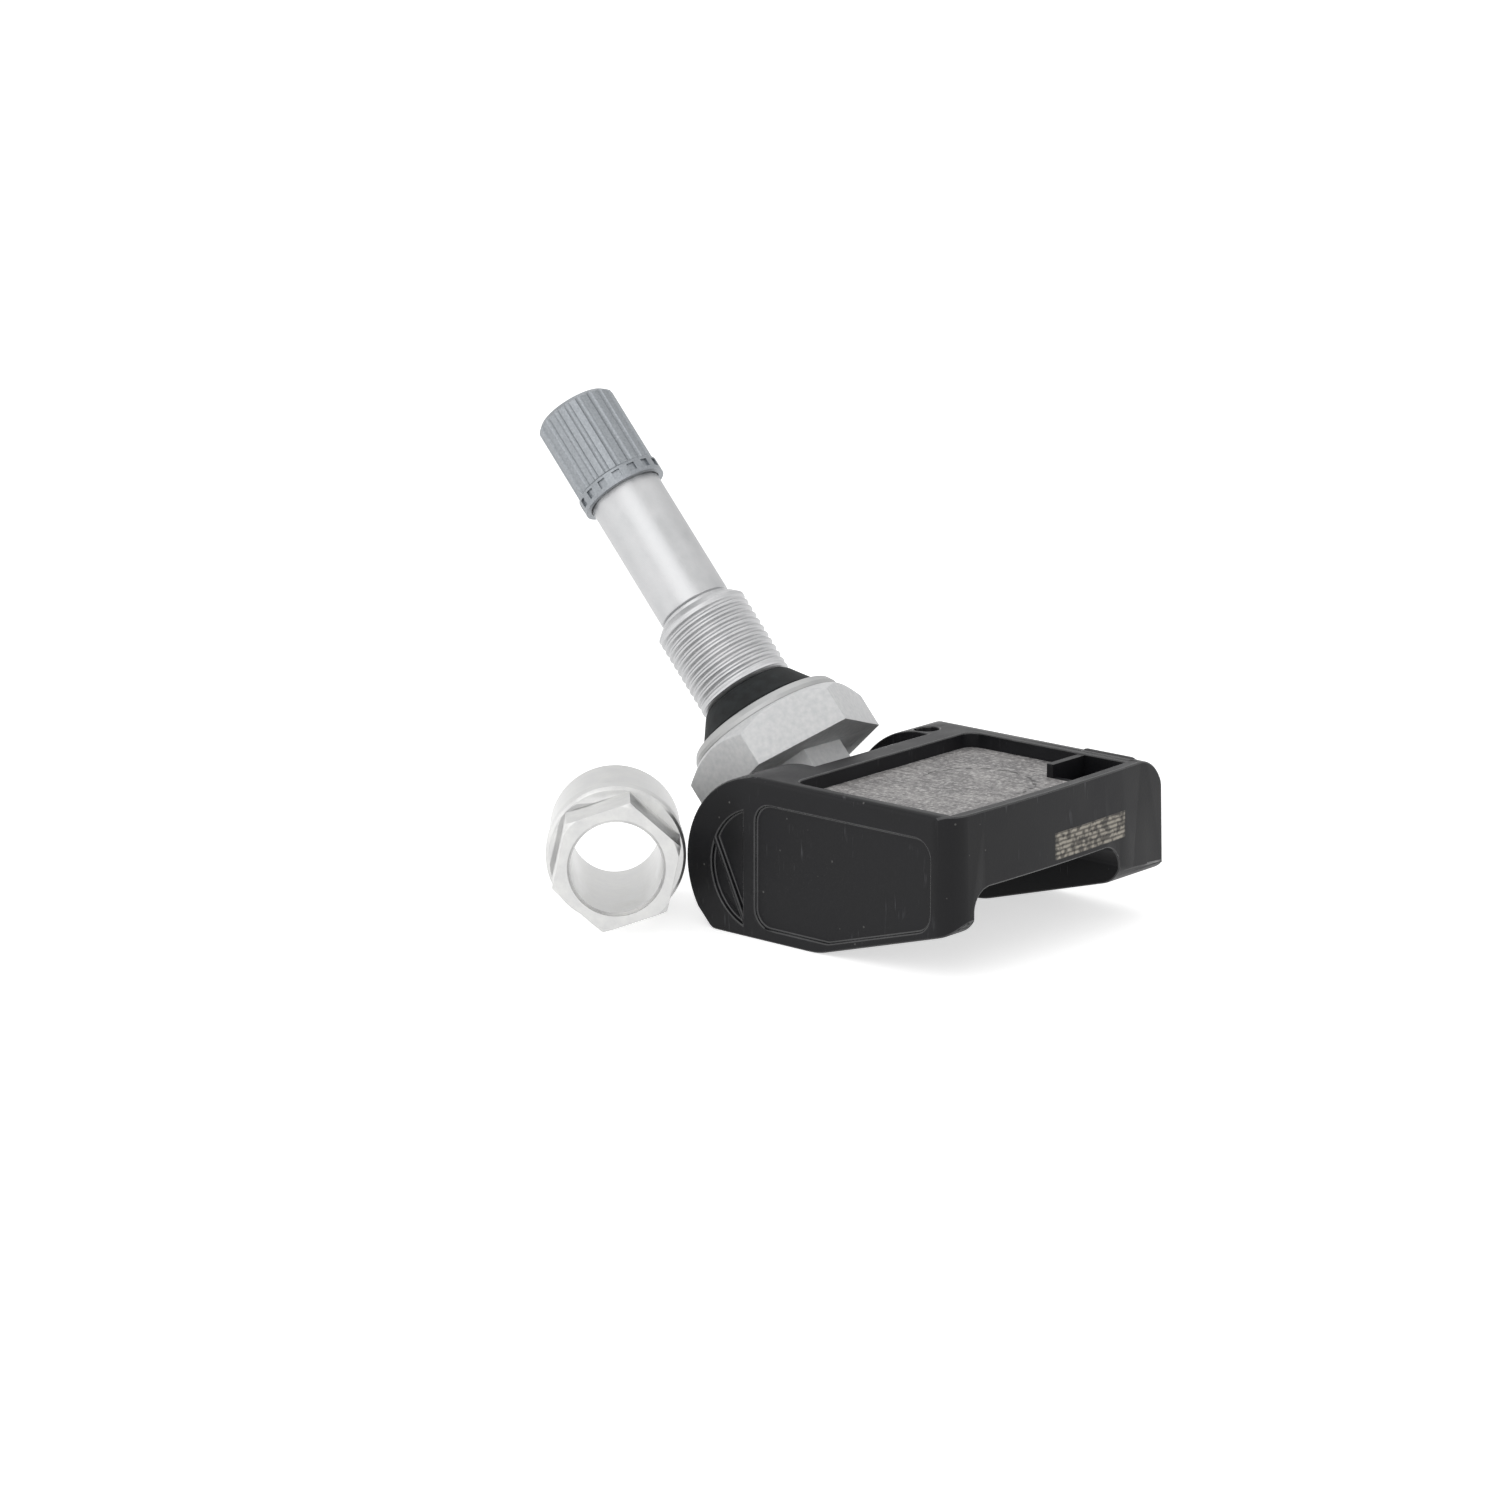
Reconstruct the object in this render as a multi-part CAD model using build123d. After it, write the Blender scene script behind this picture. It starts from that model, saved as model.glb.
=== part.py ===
from build123d import *
from math import asin, cos, degrees, radians, sin, sqrt, tau
import os

# Tyre pressure sensor with a clamp-in valve, in millimetres.
# The model is drawn with +X from the valve end to the tail, +Y away from the marked side face and +Z up.
# At the end every piece is moved so that the origin lies under the middle of the whole part.

# Cutting shapes: a short run past a face, and a length that spans the whole part
overcut = 1.0
span = 80.0

# Housing: outer form
near_y = -17.0
far_y = 18.3
body_height = 17.0
nose_radius = 9.8
nose_tip_x = 6.1
nose_low_angle = 212.0
foot_start_x = 9.5
foot_end_x = 23.8
tail_top_x = 41.4
tail_lean = 2.0
tail_bulge_radius = 240.0
underside_rise = 16.3
foot_edge_radius = 1.2
underside_bend_radius = 7.0
tail_foot_radius = 3.0
near_corner_radius = 2.6
far_corner_radius = 0.6
far_top_radius = 4.5
near_top_radius = 0.6

# Housing: tray for the electronics
tray_nose_x = 19.5
near_wall = 1.3
far_land = 5.3
tray_corner_radius = 1.5
tail_rim = 1.2
tray_depth = 6.55
fill_drop = 1.6

# Housing: hollow underside with the arch through the tail wall
hollow_near_wall = 3.3
hollow_far_wall = 8.4
tray_floor_wall = 1.3
hollow_corner_radius = 2.4
arch_start_x = 12.0
nose_cut_end_x = 18.0
nose_wall = 2.4
toe_wall = 2.6
toe_height = 5.2

# Housing: cradle for the valve
cradle_half_width = 9.3
cradle_wall = 3.0

# Housing: small features
land_hole_x = 15.2
land_hole_from_far = 7.3
land_hole_radius = 1.35
land_hole_depth = 3.0
bead_radius = 0.8
bead_length = 6.0
bead_from_tail = 4.8
bead_from_far = 3.9
bead_sink = 0.62
side_recess_depth = 0.5
side_recess_margin = 3.4
side_recess_end_x = 13.7
side_rib_width = 0.5
side_rib_length = 12.0
side_rib_lean = -64.0
side_rib_ahead = 4.3
side_rib_drop = 1.0
panel_depth = 0.35
panel_start_x = 15.4
panel_tail_margin = 3.2
panel_top_margin = 2.7
panel_bottom_margin = 1.3
panel_corner_radius = 2.0

# Valve: axis and lengths along it, measured from the lower end of the rim thread
valve_angle = 48.0
valve_x = -0.35
valve_rise = 3.32
stem_tip_t = 34.5
tip_thread_length = 7.3
tip_lead = 0.5
thread_length = 10.4
thread_lead = 0.4
thread_shoulder = 0.7
shoulder_groove = 0.5
shank_edge = 0.2
seal_height = 3.3
seal_rim = 0.5
seal_edge = 0.3
washer_thickness = 1.2
washer_rim = 0.5
hex_height = 5.3
foot_height = 4.2

# Valve: radii
tip_thread_radius = 3.85
shank_radius = 4.05
shank_groove_radius = 3.8
thread_radius = 5.2
neck_radius = 4.6
seal_top_radius = 5.3
seal_base_radius = 7.0
washer_top_radius = 8.2
washer_radius = 8.6
hex_flats = 18.2
hex_turn = 25.0
hex_bevel_start_radius = 8.7
hex_bevel_slope = 1.2
foot_flats = 10.2
air_bore_radius = 1.5
core_bore_radius = 2.4
core_bore_below = 5.0
bore_cone = 0.7

# Valve core
core_recess = 0.7
core_plug_length = 5.8
core_barrel_length = 7.0
core_plug_radius = 2.38
core_barrel_radius = 1.9
core_chamber_radius = 1.25
core_chamber_depth = 9.8
core_guide_radius = 0.68
core_seal_height = 1.8
core_seal_taper = 0.25
pin_radius = 0.6
pin_rise = 0.2
pin_tail = 2.0
pin_collar_radius = 1.1
pin_collar_depth = 2.6
pin_collar_height = 0.8
pin_cup_radius = 1.4
pin_cup_height = 0.6
pin_seal_height = 0.5
spring_wire_radius = 0.13
spring_turns = 6
spring_chords = 10

# Valve cap
cap_radius = 4.55
cap_skirt_radius = 4.75
cap_overlap = 1.2
cap_roof = 1.5
cap_edge = 0.5
cap_skirt_edge = 0.2
cap_skirt_height = 1.8
cap_flute_count = 20
cap_flute_radius = 0.42
cap_flute_depth = 0.2
cap_pocket_count = 16
cap_pocket_width = 0.9
cap_pocket_height = 0.9
cap_pocket_depth = 0.25
cap_thread_clearance = 0.1
cap_step = 0.1
gasket_thickness = 1.05
gasket_gap = 0.05

# Fixing screw, hollow so that air can pass through it
screw_thread_radius = 2.2
screw_clearance = 0.03
screw_hole_clearance = 0.2
screw_length_in_stem = 5.0
screw_run_out = 1.0
screw_tip_edge = 0.4
screw_head_edge = 0.5
screw_head_radius = 3.0
screw_head_height = 2.0
screw_bore_radius = 0.9
screw_drive_radius = 1.5
screw_drive_depth = 1.2

# Clamp nut, lying on its side in front of the nose
nut_flats = 12.0
nut_hex_length = 5.7
nut_flange_radius = 7.25
nut_flange_bevel = 0.3
nut_flange_rim = 1.9
nut_sleeve_radius = 6.9
nut_length = 18.6
nut_end_edge = 0.5
nut_bevel_in = 0.5
nut_bevel_slope = 0.6
nut_bore_radius = 4.75
nut_mouth_radius = 5.35
nut_mouth_depth = 0.9
nut_face_x = 4.9
nut_face_y = -26.4
nut_heading = 43.0
nut_turn = 18.0

# Electronics under the fill
board_thickness = 0.8
board_lift = 0.3
board_nose_gap = 0.8
board_tail_gap = 1.3
board_near_gap = 0.8
board_far_gap = 0.6
cell_radius = 8.0
cell_height = 3.2
cell_rim_height = 0.5
cell_rim_radius = 7.3
cell_nose_gap = 1.1
cell_near_gap = 0.5
tab_thickness = 0.2
tab_width = 4.0
tab_reach = 0.5
tab_offset = 4.6
chip_in_frame = 2.8
chip_length = 4.4
chip_width = 3.6
chip_height = 1.65
chip_port_radius = 0.6
chip_port_depth = 0.5
seal_ring_radius = 1.5
seal_ring_hole = 0.75
seal_ring_height = 0.4
frame_length = 5.1
frame_width = 5.4
frame_wall = 0.8
frame_floor = 0.7
frame_rib_drop = 0.15
frame_gap = 0.05
coil_length = 8.0
coil_width = 3.0
coil_height = 2.4
coil_flange = 1.2
coil_waist = 0.3
coil_from_nose = 7.3
coil_from_far = 6.0
crystal_size = (3.2, 2.5, 0.9)
crystal_from_nose = 2.6
crystal_from_far = 8.8
aerial_width = 1.0
aerial_thickness = 0.5
aerial_from_nose = 1.0
aerial_from_far = 1.1
aerial_side = 5.1
aerial_length = 10.3
aerial_cover = 1.1
aerial_bend = 1.0
capacitor_size = (1.6, 0.8, 0.8)
capacitor_count = 4
capacitor_pitch = 1.9
capacitor_from_nose = 2.6
capacitor_from_far = 3.2


def turned(corners):
    """Solid of revolution about Z, drawn as (radius, height) corners."""
    outline = Polyline(*[(radius, 0, height) for radius, height in corners], close=True)
    return revolve(make_face(outline), axis=Axis.Z)


def block(x_from, x_to, y_from, y_to, z_from, z_to):
    """Box between two corners."""
    middle = Pos((x_from + x_to) / 2, (y_from + y_to) / 2, (z_from + z_to) / 2)
    return middle * Box(x_to - x_from, y_to - y_from, z_to - z_from)


def side_shape(outline, y_from, y_to):
    """Extrudes an outline drawn in (X, Z) from one Y to another."""
    face = Plane.XZ * outline
    return Pos(0, y_to, 0) * extrude(face, amount=y_to - y_from)


def hexagon(flats, turn):
    """Flat hexagon given by its width across flats."""
    return RegularPolygon(flats / 2, 6, major_radius=False, rotation=turn)


# Heights and places that follow from the housing
tray_near_y = near_y + near_wall
tray_far_y = far_y - far_land
tray_floor_z = body_height - tray_depth
fill_top_z = body_height - fill_drop
hollow_near_y = near_y + hollow_near_wall
hollow_far_y = far_y - hollow_far_wall
hollow_roof_z = tray_floor_z - tray_floor_wall
valve_z = body_height + valve_rise

# Valve frame: local +Z runs out along the stem, local +X is the part's +Y
out_x = -cos(radians(valve_angle))
out_z = sin(radians(valve_angle))
valve_frame = Plane(origin=(valve_x, 0, valve_z), x_dir=(0, 1, 0), z_dir=(out_x, 0, out_z))
washer_base_t = -seal_height - washer_thickness
hex_base_t = washer_base_t - hex_height
foot_base_t = hex_base_t - foot_height
tip_thread_start_t = stem_tip_t - tip_thread_length
core_top_t = stem_tip_t - core_recess
core_step_t = core_top_t - core_plug_length
core_base_t = core_step_t - core_barrel_length
core_chamber_base_t = core_top_t - core_chamber_depth


def on_valve(shape):
    """Places a shape drawn along Z on the valve axis."""
    return valve_frame.location * shape


# Housing: side outline with its fillets, then the tail bulge and the edge roundings
nose_centre_x = nose_tip_x + nose_radius
nose_centre_z = body_height - nose_radius
nose_low_x = nose_centre_x + nose_radius * cos(radians(nose_low_angle))
nose_low_z = nose_centre_z + nose_radius * sin(radians(nose_low_angle))
tail_slope = sin(radians(tail_lean)) / cos(radians(tail_lean))
rise_slope = sin(radians(underside_rise)) / cos(radians(underside_rise))
tail_low_z = (tail_top_x + tail_slope * body_height - foot_end_x) * rise_slope / (1 + tail_slope * rise_slope)
tail_low_x = tail_top_x + tail_slope * (body_height - tail_low_z)

nose_arc = CenterArc((nose_centre_x, nose_centre_z), nose_radius, 90, nose_low_angle - 90)
lower_run = Polyline(
    (nose_low_x, nose_low_z),
    (foot_start_x, 0),
    (foot_end_x, 0),
    (tail_low_x, tail_low_z),
    (tail_top_x, body_height),
    (nose_centre_x, body_height),
)
side_outline = make_face([nose_arc, *lower_run.edges()])
side_outline = fillet(side_outline.vertices().sort_by_distance((foot_start_x, 0))[0], foot_edge_radius)
side_outline = fillet(side_outline.vertices().sort_by_distance((foot_end_x, 0))[0], underside_bend_radius)
side_outline = fillet(side_outline.vertices().sort_by_distance((tail_low_x, tail_low_z))[0], tail_foot_radius)
housing = side_shape(side_outline, near_y, far_y)

tail_pivot = Pos(tail_top_x, 0, body_height) * Rot(0, -tail_lean, 0)
near_sag = tail_bulge_radius - sqrt(tail_bulge_radius**2 - near_y**2)
far_sag = tail_bulge_radius - sqrt(tail_bulge_radius**2 - far_y**2)


def plan_outline(inset):
    """Outline seen from above, with the bulged tail edge drawn in from the outer form by an inset."""
    near_x = -near_sag - inset
    far_x = -far_sag - inset
    tail_arc = ThreePointArc((near_x, near_y), (-inset, 0), (far_x, far_y))
    side_run = Polyline((far_x, far_y), (-span, far_y), (-span, near_y), (near_x, near_y))
    return make_face([tail_arc, *side_run.edges()])


def tail_prism(face):
    """Prism on a plan outline, leaning with the tail."""
    return tail_pivot * Pos(0, 0, -span / 2) * extrude(face, amount=span)


plan_face = plan_outline(0)
plan_face = fillet(plan_face.vertices().sort_by_distance((0, near_y))[0], near_corner_radius)
plan_face = fillet(plan_face.vertices().sort_by_distance((0, far_y))[0], far_corner_radius)
housing = housing & tail_prism(plan_face)

section_plane = Plane(origin=(0, 0, 0), x_dir=(0, 1, 0), z_dir=(1, 0, 0))
section_face = Rectangle(far_y - near_y, body_height + overcut)
section_face = Pos((near_y + far_y) / 2, (body_height - overcut) / 2) * section_face
section_face = fillet(section_face.vertices().sort_by_distance((far_y, body_height))[0], far_top_radius)
section_face = fillet(section_face.vertices().sort_by_distance((near_y, body_height))[0], near_top_radius)
housing = housing & extrude(section_plane * section_face, amount=span)

# Housing: tray
tray_box = block(tray_nose_x, tail_low_x, tray_near_y, tray_far_y, tray_floor_z, body_height + overcut)
tray_cut = tray_box & tail_prism(plan_outline(tail_rim))
tray_cut = fillet(tray_cut.edges().filter_by(Axis.Z).group_by(Axis.X)[0], tray_corner_radius)
housing = housing - tray_cut

# Housing: hollow underside
arch_width = hollow_far_y - hollow_near_y
arch_face = Pos((hollow_far_y + hollow_near_y) / 2, 0) * Rectangle(arch_width, 2 * hollow_roof_z)
arch_face = fillet(arch_face.vertices().group_by(Axis.Y)[-1], hollow_corner_radius)
arch_plane = Plane(origin=(arch_start_x, 0, 0), x_dir=(0, 1, 0), z_dir=(1, 0, 0))
arch_cut = extrude(arch_plane * arch_face, amount=span)
cradle_in_t = foot_base_t - cradle_wall
wall_x = valve_x + cradle_in_t * out_x
wall_z = valve_z + cradle_in_t * out_z
wall_slope = -out_x / out_z


def wall_height(x):
    """Height of the inner face of the cradle wall at a given X."""
    return wall_z + (x - wall_x) * wall_slope


nose_hollow_x = nose_tip_x + nose_wall
hollow_outline = make_face(
    Polyline(
        (foot_start_x + toe_wall, -overcut),
        (nose_hollow_x, toe_height),
        (nose_hollow_x, wall_height(nose_hollow_x)),
        (nose_cut_end_x, wall_height(nose_cut_end_x)),
        (nose_cut_end_x, -overcut),
        close=True,
    )
)
nose_cut_near_y = hollow_near_y + hollow_corner_radius
nose_cut_far_y = hollow_far_y - hollow_corner_radius
nose_cut = side_shape(hollow_outline, nose_cut_near_y, nose_cut_far_y)
housing = housing - arch_cut - nose_cut

# Housing: cradle for the valve foot, square to the valve axis
cradle_face = Rectangle(2 * cradle_half_width, span)
cradle_cut = on_valve(Pos(0, 0, foot_base_t) * extrude(cradle_face, amount=span))
housing = housing - cradle_cut
cradle_hole_radius = screw_thread_radius + screw_hole_clearance
cradle_hole = on_valve(Pos(0, 0, foot_base_t) * Cylinder(cradle_hole_radius, 4 * cradle_wall))
housing = housing - cradle_hole

# Housing: hole in the far land and bead on the far rim
land_hole_y = far_y - land_hole_from_far
land_hole = Pos(land_hole_x, land_hole_y, body_height) * Cylinder(land_hole_radius, 2 * land_hole_depth)
housing = housing - land_hole
bead_place = Pos(tail_top_x - bead_from_tail, far_y - bead_from_far, body_height - bead_sink)
bead = bead_place * Rot(0, 90, 0) * Cylinder(bead_radius, bead_length)
housing = housing + bead

# Housing: D-shaped recess and shallow panel in the near face
recess_arc_radius = nose_radius - side_recess_margin
recess_circle = Pos(nose_centre_x, nose_centre_z) * Circle(recess_arc_radius)
recess_strip = Pos(side_recess_end_x - span / 2, nose_centre_z) * Rectangle(span, span)
recess_face = recess_circle & recess_strip
recess_cut = side_shape(recess_face, near_y - overcut, near_y + side_recess_depth)
rib_place = Pos(nose_centre_x - side_rib_ahead, nose_centre_z - side_rib_drop)
rib_line = rib_place * Rot(0, 0, side_rib_lean) * Rectangle(side_rib_length, side_rib_width)
recess_rib = side_shape(rib_line, near_y - 2 * overcut, near_y + 2 * overcut)
housing = housing - (recess_cut - recess_rib)
panel_end_x = tail_top_x - panel_tail_margin
panel_top_z = body_height - panel_top_margin
panel_low = foot_end_x + panel_bottom_margin
panel_face = make_face(
    Polyline(
        (panel_start_x, panel_bottom_margin),
        (panel_low, panel_bottom_margin),
        (panel_end_x, panel_bottom_margin + (panel_end_x - panel_low) * rise_slope),
        (panel_end_x, panel_top_z),
        (panel_start_x, panel_top_z),
        close=True,
    )
)
panel_face = fillet(panel_face.vertices(), panel_corner_radius)
housing = housing - side_shape(panel_face, near_y - overcut, near_y + panel_depth)

# Electronics: circuit board
board_z = tray_floor_z + board_lift
board_top_z = board_z + board_thickness
board_start_x = tray_nose_x + board_nose_gap
board_end_x = tail_top_x - tail_rim - board_tail_gap
board_near_y = tray_near_y + board_near_gap
board_far_y = tray_far_y - board_far_gap
circuit_board = block(board_start_x, board_end_x, board_near_y, board_far_y, board_z, board_top_z)
circuit_board = fillet(circuit_board.edges().filter_by(Axis.Z), tray_corner_radius)

# Electronics: coin cell with its two welded tabs
cell_x = board_start_x + cell_radius + cell_nose_gap
cell_y = board_near_y + cell_radius + cell_near_gap
cell_base_z = board_top_z + tab_thickness
cell_top_z = cell_base_z + cell_height
coin_cell = Pos(cell_x, cell_y, 0) * turned(
    [
        (0, cell_base_z),
        (cell_rim_radius, cell_base_z),
        (cell_rim_radius, cell_base_z + cell_rim_height),
        (cell_radius, cell_base_z + cell_rim_height),
        (cell_radius, cell_top_z),
        (0, cell_top_z),
    ]
)
tab_end_x = cell_x - cell_radius - tab_reach
low_tab_near_y = cell_y - tab_width / 2
cell_tab_bottom = block(tab_end_x, cell_x, low_tab_near_y, low_tab_near_y + tab_width, board_top_z, cell_base_z)
tab_top_z = cell_top_z + tab_thickness
tab_leg_x = tab_end_x - tab_thickness
tab_near_y = cell_y - tab_offset - tab_width / 2
tab_far_y = tab_near_y + tab_width
tab_over = block(tab_leg_x, cell_x, tab_near_y, tab_far_y, cell_top_z, tab_top_z)
tab_leg = block(tab_leg_x, tab_end_x, tab_near_y, tab_far_y, board_top_z, tab_top_z)
cell_tab_top = tab_over + tab_leg

# Electronics: pressure sensor chip, its port seal and the frame that keeps the fill out of the port
frame_start_x = board_end_x - frame_length
frame_near_y = tray_far_y - frame_width
chip_x = frame_start_x + chip_in_frame
chip_y = frame_near_y + chip_in_frame
chip_top_z = board_top_z + chip_height
chip_place = Pos(chip_x, chip_y, board_top_z + chip_height / 2)
chip_port = Pos(chip_x, chip_y, chip_top_z) * Cylinder(chip_port_radius, 2 * chip_port_depth)
sensor_chip = chip_place * Box(chip_length, chip_width, chip_height) - chip_port
seal_ring_top_z = chip_top_z + seal_ring_height
port_seal = Pos(chip_x, chip_y, 0) * turned(
    [
        (seal_ring_hole, chip_top_z),
        (seal_ring_radius, chip_top_z),
        (seal_ring_radius, seal_ring_top_z),
        (seal_ring_hole, seal_ring_top_z),
    ]
)
frame_floor_z = seal_ring_top_z + frame_floor
frame_far_y = tray_far_y + overcut
frame_box = block(frame_start_x, tail_low_x, frame_near_y, frame_far_y, seal_ring_top_z, fill_top_z)
frame_rib_top = body_height - frame_rib_drop
frame_rib_end_x = frame_start_x + frame_wall
frame_rib = block(frame_start_x, frame_rib_end_x, frame_near_y, frame_far_y, fill_top_z, frame_rib_top)
frame_well = block(
    frame_rib_end_x, tail_low_x, frame_near_y + frame_wall, frame_far_y, frame_floor_z, body_height
)
frame_port = Pos(chip_x, chip_y, seal_ring_top_z) * Cylinder(seal_ring_hole, 4 * frame_floor)
frame_room = block(
    tray_nose_x, tail_low_x, tray_near_y, tray_far_y - frame_gap, tray_floor_z, body_height + overcut
) & tail_prism(plan_outline(tail_rim + frame_gap))
port_frame = (frame_box + frame_rib - frame_well - frame_port) & frame_room

# Electronics: wake-up coil on its ferrite, crystal, aerial loop and capacitors
coil_place = Pos(board_start_x + coil_from_nose, board_far_y - coil_from_far, board_top_z + coil_height / 2)
coil_sleeve = Box(coil_length - 2 * coil_flange, coil_width + overcut, coil_height + overcut)
coil_neck = Box(coil_length, coil_width - 2 * coil_waist, coil_height - 2 * coil_waist)
wake_up_coil = coil_place * (Box(coil_length, coil_width, coil_height) - (coil_sleeve - coil_neck))
crystal_x = board_start_x + crystal_from_nose
crystal_y = board_far_y - crystal_from_far
crystal = Pos(crystal_x, crystal_y, board_top_z + crystal_size[2] / 2) * Box(*crystal_size)
aerial_x = board_start_x + aerial_from_nose
aerial_y = board_far_y - aerial_from_far
aerial_start_y = aerial_y - aerial_side
aerial_end_x = aerial_x + aerial_length
aerial_top_z = fill_top_z - aerial_cover
aerial_path = FilletPolyline(
    (aerial_x, aerial_start_y, board_top_z),
    (aerial_x, aerial_start_y, aerial_top_z),
    (aerial_x, aerial_y, aerial_top_z),
    (aerial_end_x, aerial_y, aerial_top_z),
    (aerial_end_x, aerial_y, board_top_z),
    radius=aerial_bend,
)
aerial_start = Plane(origin=(aerial_x, aerial_start_y, board_top_z), z_dir=(0, 0, 1))
aerial_loop = sweep(aerial_start * Rectangle(aerial_width, aerial_thickness), path=aerial_path)
capacitors = []
for row in range(capacitor_count):
    row_x = board_start_x + capacitor_from_nose + row * capacitor_pitch
    place = Pos(row_x, board_far_y - capacitor_from_far, board_top_z + capacitor_size[2] / 2)
    capacitors.append(place * Rot(0, 0, 90) * Box(*capacitor_size))

# Fill: cast round everything on the board
fill_box = block(tray_nose_x, tail_low_x, tray_near_y, tray_far_y, tray_floor_z, fill_top_z)
potting_fill = fill_box & tray_cut
potting_fill = potting_fill - circuit_board - coin_cell - cell_tab_bottom - cell_tab_top
potting_fill = potting_fill - sensor_chip - port_seal - wake_up_coil - crystal - aerial_loop
potting_fill = potting_fill - capacitors
frame_shadow = block(frame_start_x, tail_low_x, frame_near_y, frame_far_y, seal_ring_top_z, body_height)
port_shadow = Pos(chip_x, chip_y, chip_top_z) * Cylinder(seal_ring_hole, 2 * (chip_port_depth + seal_ring_height))
potting_fill = potting_fill - frame_shadow - port_shadow
chip_capacitors = Part() + capacitors

# Valve stem: turned body, two hexagons, air bore and screw thread bore
screw_bore_end_t = foot_base_t + screw_length_in_stem + screw_run_out
core_bore_base_t = core_base_t - core_bore_below
groove_top_t = thread_length + shoulder_groove
stem_round = turned(
    [
        (0, hex_base_t + overcut),
        (neck_radius, hex_base_t + overcut),
        (neck_radius, 0),
        (thread_radius - thread_lead, 0),
        (thread_radius, thread_lead),
        (thread_radius, thread_length - thread_shoulder),
        (thread_radius - thread_shoulder, thread_length),
        (shank_groove_radius, thread_length),
        (shank_groove_radius, groove_top_t),
        (shank_radius, groove_top_t + shank_edge),
        (shank_radius, tip_thread_start_t - shank_edge),
        (tip_thread_radius, tip_thread_start_t),
        (tip_thread_radius, stem_tip_t - tip_lead),
        (tip_thread_radius - tip_lead, stem_tip_t),
        (0, stem_tip_t),
    ]
)
hex_block = Pos(0, 0, hex_base_t) * extrude(hexagon(hex_flats, hex_turn), amount=hex_height)
hex_bevel = turned(
    [
        (0, hex_base_t - overcut),
        (hex_bevel_start_radius + hex_bevel_slope * (hex_height + overcut), hex_base_t - overcut),
        (hex_bevel_start_radius, washer_base_t),
        (0, washer_base_t),
    ]
)
stem_hex = hex_block & hex_bevel
stem_foot = Pos(0, 0, foot_base_t) * extrude(hexagon(foot_flats, 0), amount=foot_height + overcut)
stem_bore = turned(
    [
        (0, foot_base_t - overcut),
        (screw_thread_radius, foot_base_t - overcut),
        (screw_thread_radius, screw_bore_end_t),
        (air_bore_radius, screw_bore_end_t + bore_cone),
        (air_bore_radius, core_bore_base_t - bore_cone),
        (core_bore_radius, core_bore_base_t),
        (core_bore_radius, stem_tip_t + overcut),
        (0, stem_tip_t + overcut),
    ]
)
valve_stem = on_valve(stem_round + stem_hex + stem_foot - stem_bore)

# Valve: support washer and rubber grommet
seat_washer = on_valve(
    turned(
        [
            (neck_radius, washer_base_t),
            (washer_radius, washer_base_t),
            (washer_radius, washer_base_t + washer_rim),
            (washer_top_radius, -seal_height),
            (neck_radius, -seal_height),
        ]
    )
)
grommet = on_valve(
    turned(
        [
            (neck_radius, -seal_height),
            (seal_base_radius, -seal_height),
            (seal_base_radius, -seal_height + seal_rim),
            (seal_top_radius, -seal_edge),
            (seal_top_radius - seal_edge, 0),
            (neck_radius, 0),
        ]
    )
)

# Fixing screw: head inside the hollow, thread in the valve foot
screw_shank_radius = screw_thread_radius - screw_clearance
screw_tip_t = foot_base_t + screw_length_in_stem
screw_head_t = cradle_in_t - screw_head_height
screw_round = turned(
    [
        (screw_bore_radius, screw_head_t),
        (screw_head_radius - screw_head_edge, screw_head_t),
        (screw_head_radius, screw_head_t + screw_head_edge),
        (screw_head_radius, cradle_in_t),
        (screw_shank_radius, cradle_in_t),
        (screw_shank_radius, screw_tip_t - screw_tip_edge),
        (screw_shank_radius - screw_tip_edge, screw_tip_t),
        (screw_bore_radius, screw_tip_t),
    ]
)
screw_drive = extrude(RegularPolygon(screw_drive_radius, 6), amount=screw_drive_depth)
screw_drive = Pos(0, 0, screw_head_t) * screw_drive
fixing_screw = on_valve(screw_round - screw_drive)

# Valve core: plug and barrel, outer seal, pin with its cup, pin seal and return spring
core_body = on_valve(
    turned(
        [
            (core_guide_radius, core_base_t),
            (core_barrel_radius, core_base_t),
            (core_barrel_radius, core_step_t),
            (core_plug_radius, core_step_t),
            (core_plug_radius, core_top_t),
            (core_chamber_radius, core_top_t),
            (core_chamber_radius, core_chamber_base_t),
            (core_guide_radius, core_chamber_base_t),
        ]
    )
)
core_seal = on_valve(
    turned(
        [
            (core_barrel_radius, core_step_t - core_seal_height),
            (core_bore_radius - core_seal_taper, core_step_t - core_seal_height),
            (core_bore_radius, core_step_t),
            (core_barrel_radius, core_step_t),
        ]
    )
)
pin_seal_base_t = core_base_t - pin_seal_height
pin_cup_base_t = pin_seal_base_t - pin_cup_height
pin_base_t = core_base_t - pin_tail
pin_top_t = core_top_t + pin_rise
pin_collar_t = core_top_t - pin_collar_depth
core_pin = on_valve(
    turned(
        [
            (0, pin_base_t),
            (pin_radius, pin_base_t),
            (pin_radius, pin_cup_base_t),
            (pin_cup_radius, pin_cup_base_t),
            (pin_cup_radius, pin_seal_base_t),
            (pin_radius, pin_seal_base_t),
            (pin_radius, pin_collar_t),
            (pin_collar_radius, pin_collar_t),
            (pin_collar_radius, pin_collar_t + pin_collar_height),
            (pin_radius, pin_collar_t + pin_collar_height),
            (pin_radius, pin_top_t),
            (0, pin_top_t),
        ]
    )
)
pin_seal = on_valve(
    turned(
        [
            (pin_radius, pin_seal_base_t),
            (pin_cup_radius, pin_seal_base_t),
            (pin_cup_radius, core_base_t),
            (pin_radius, core_base_t),
        ]
    )
)
spring_radius = (core_chamber_radius + pin_radius) / 2
spring_height = pin_collar_t - core_chamber_base_t - 2 * spring_wire_radius
spring_pitch = spring_height / spring_turns
spring_points = []
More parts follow.
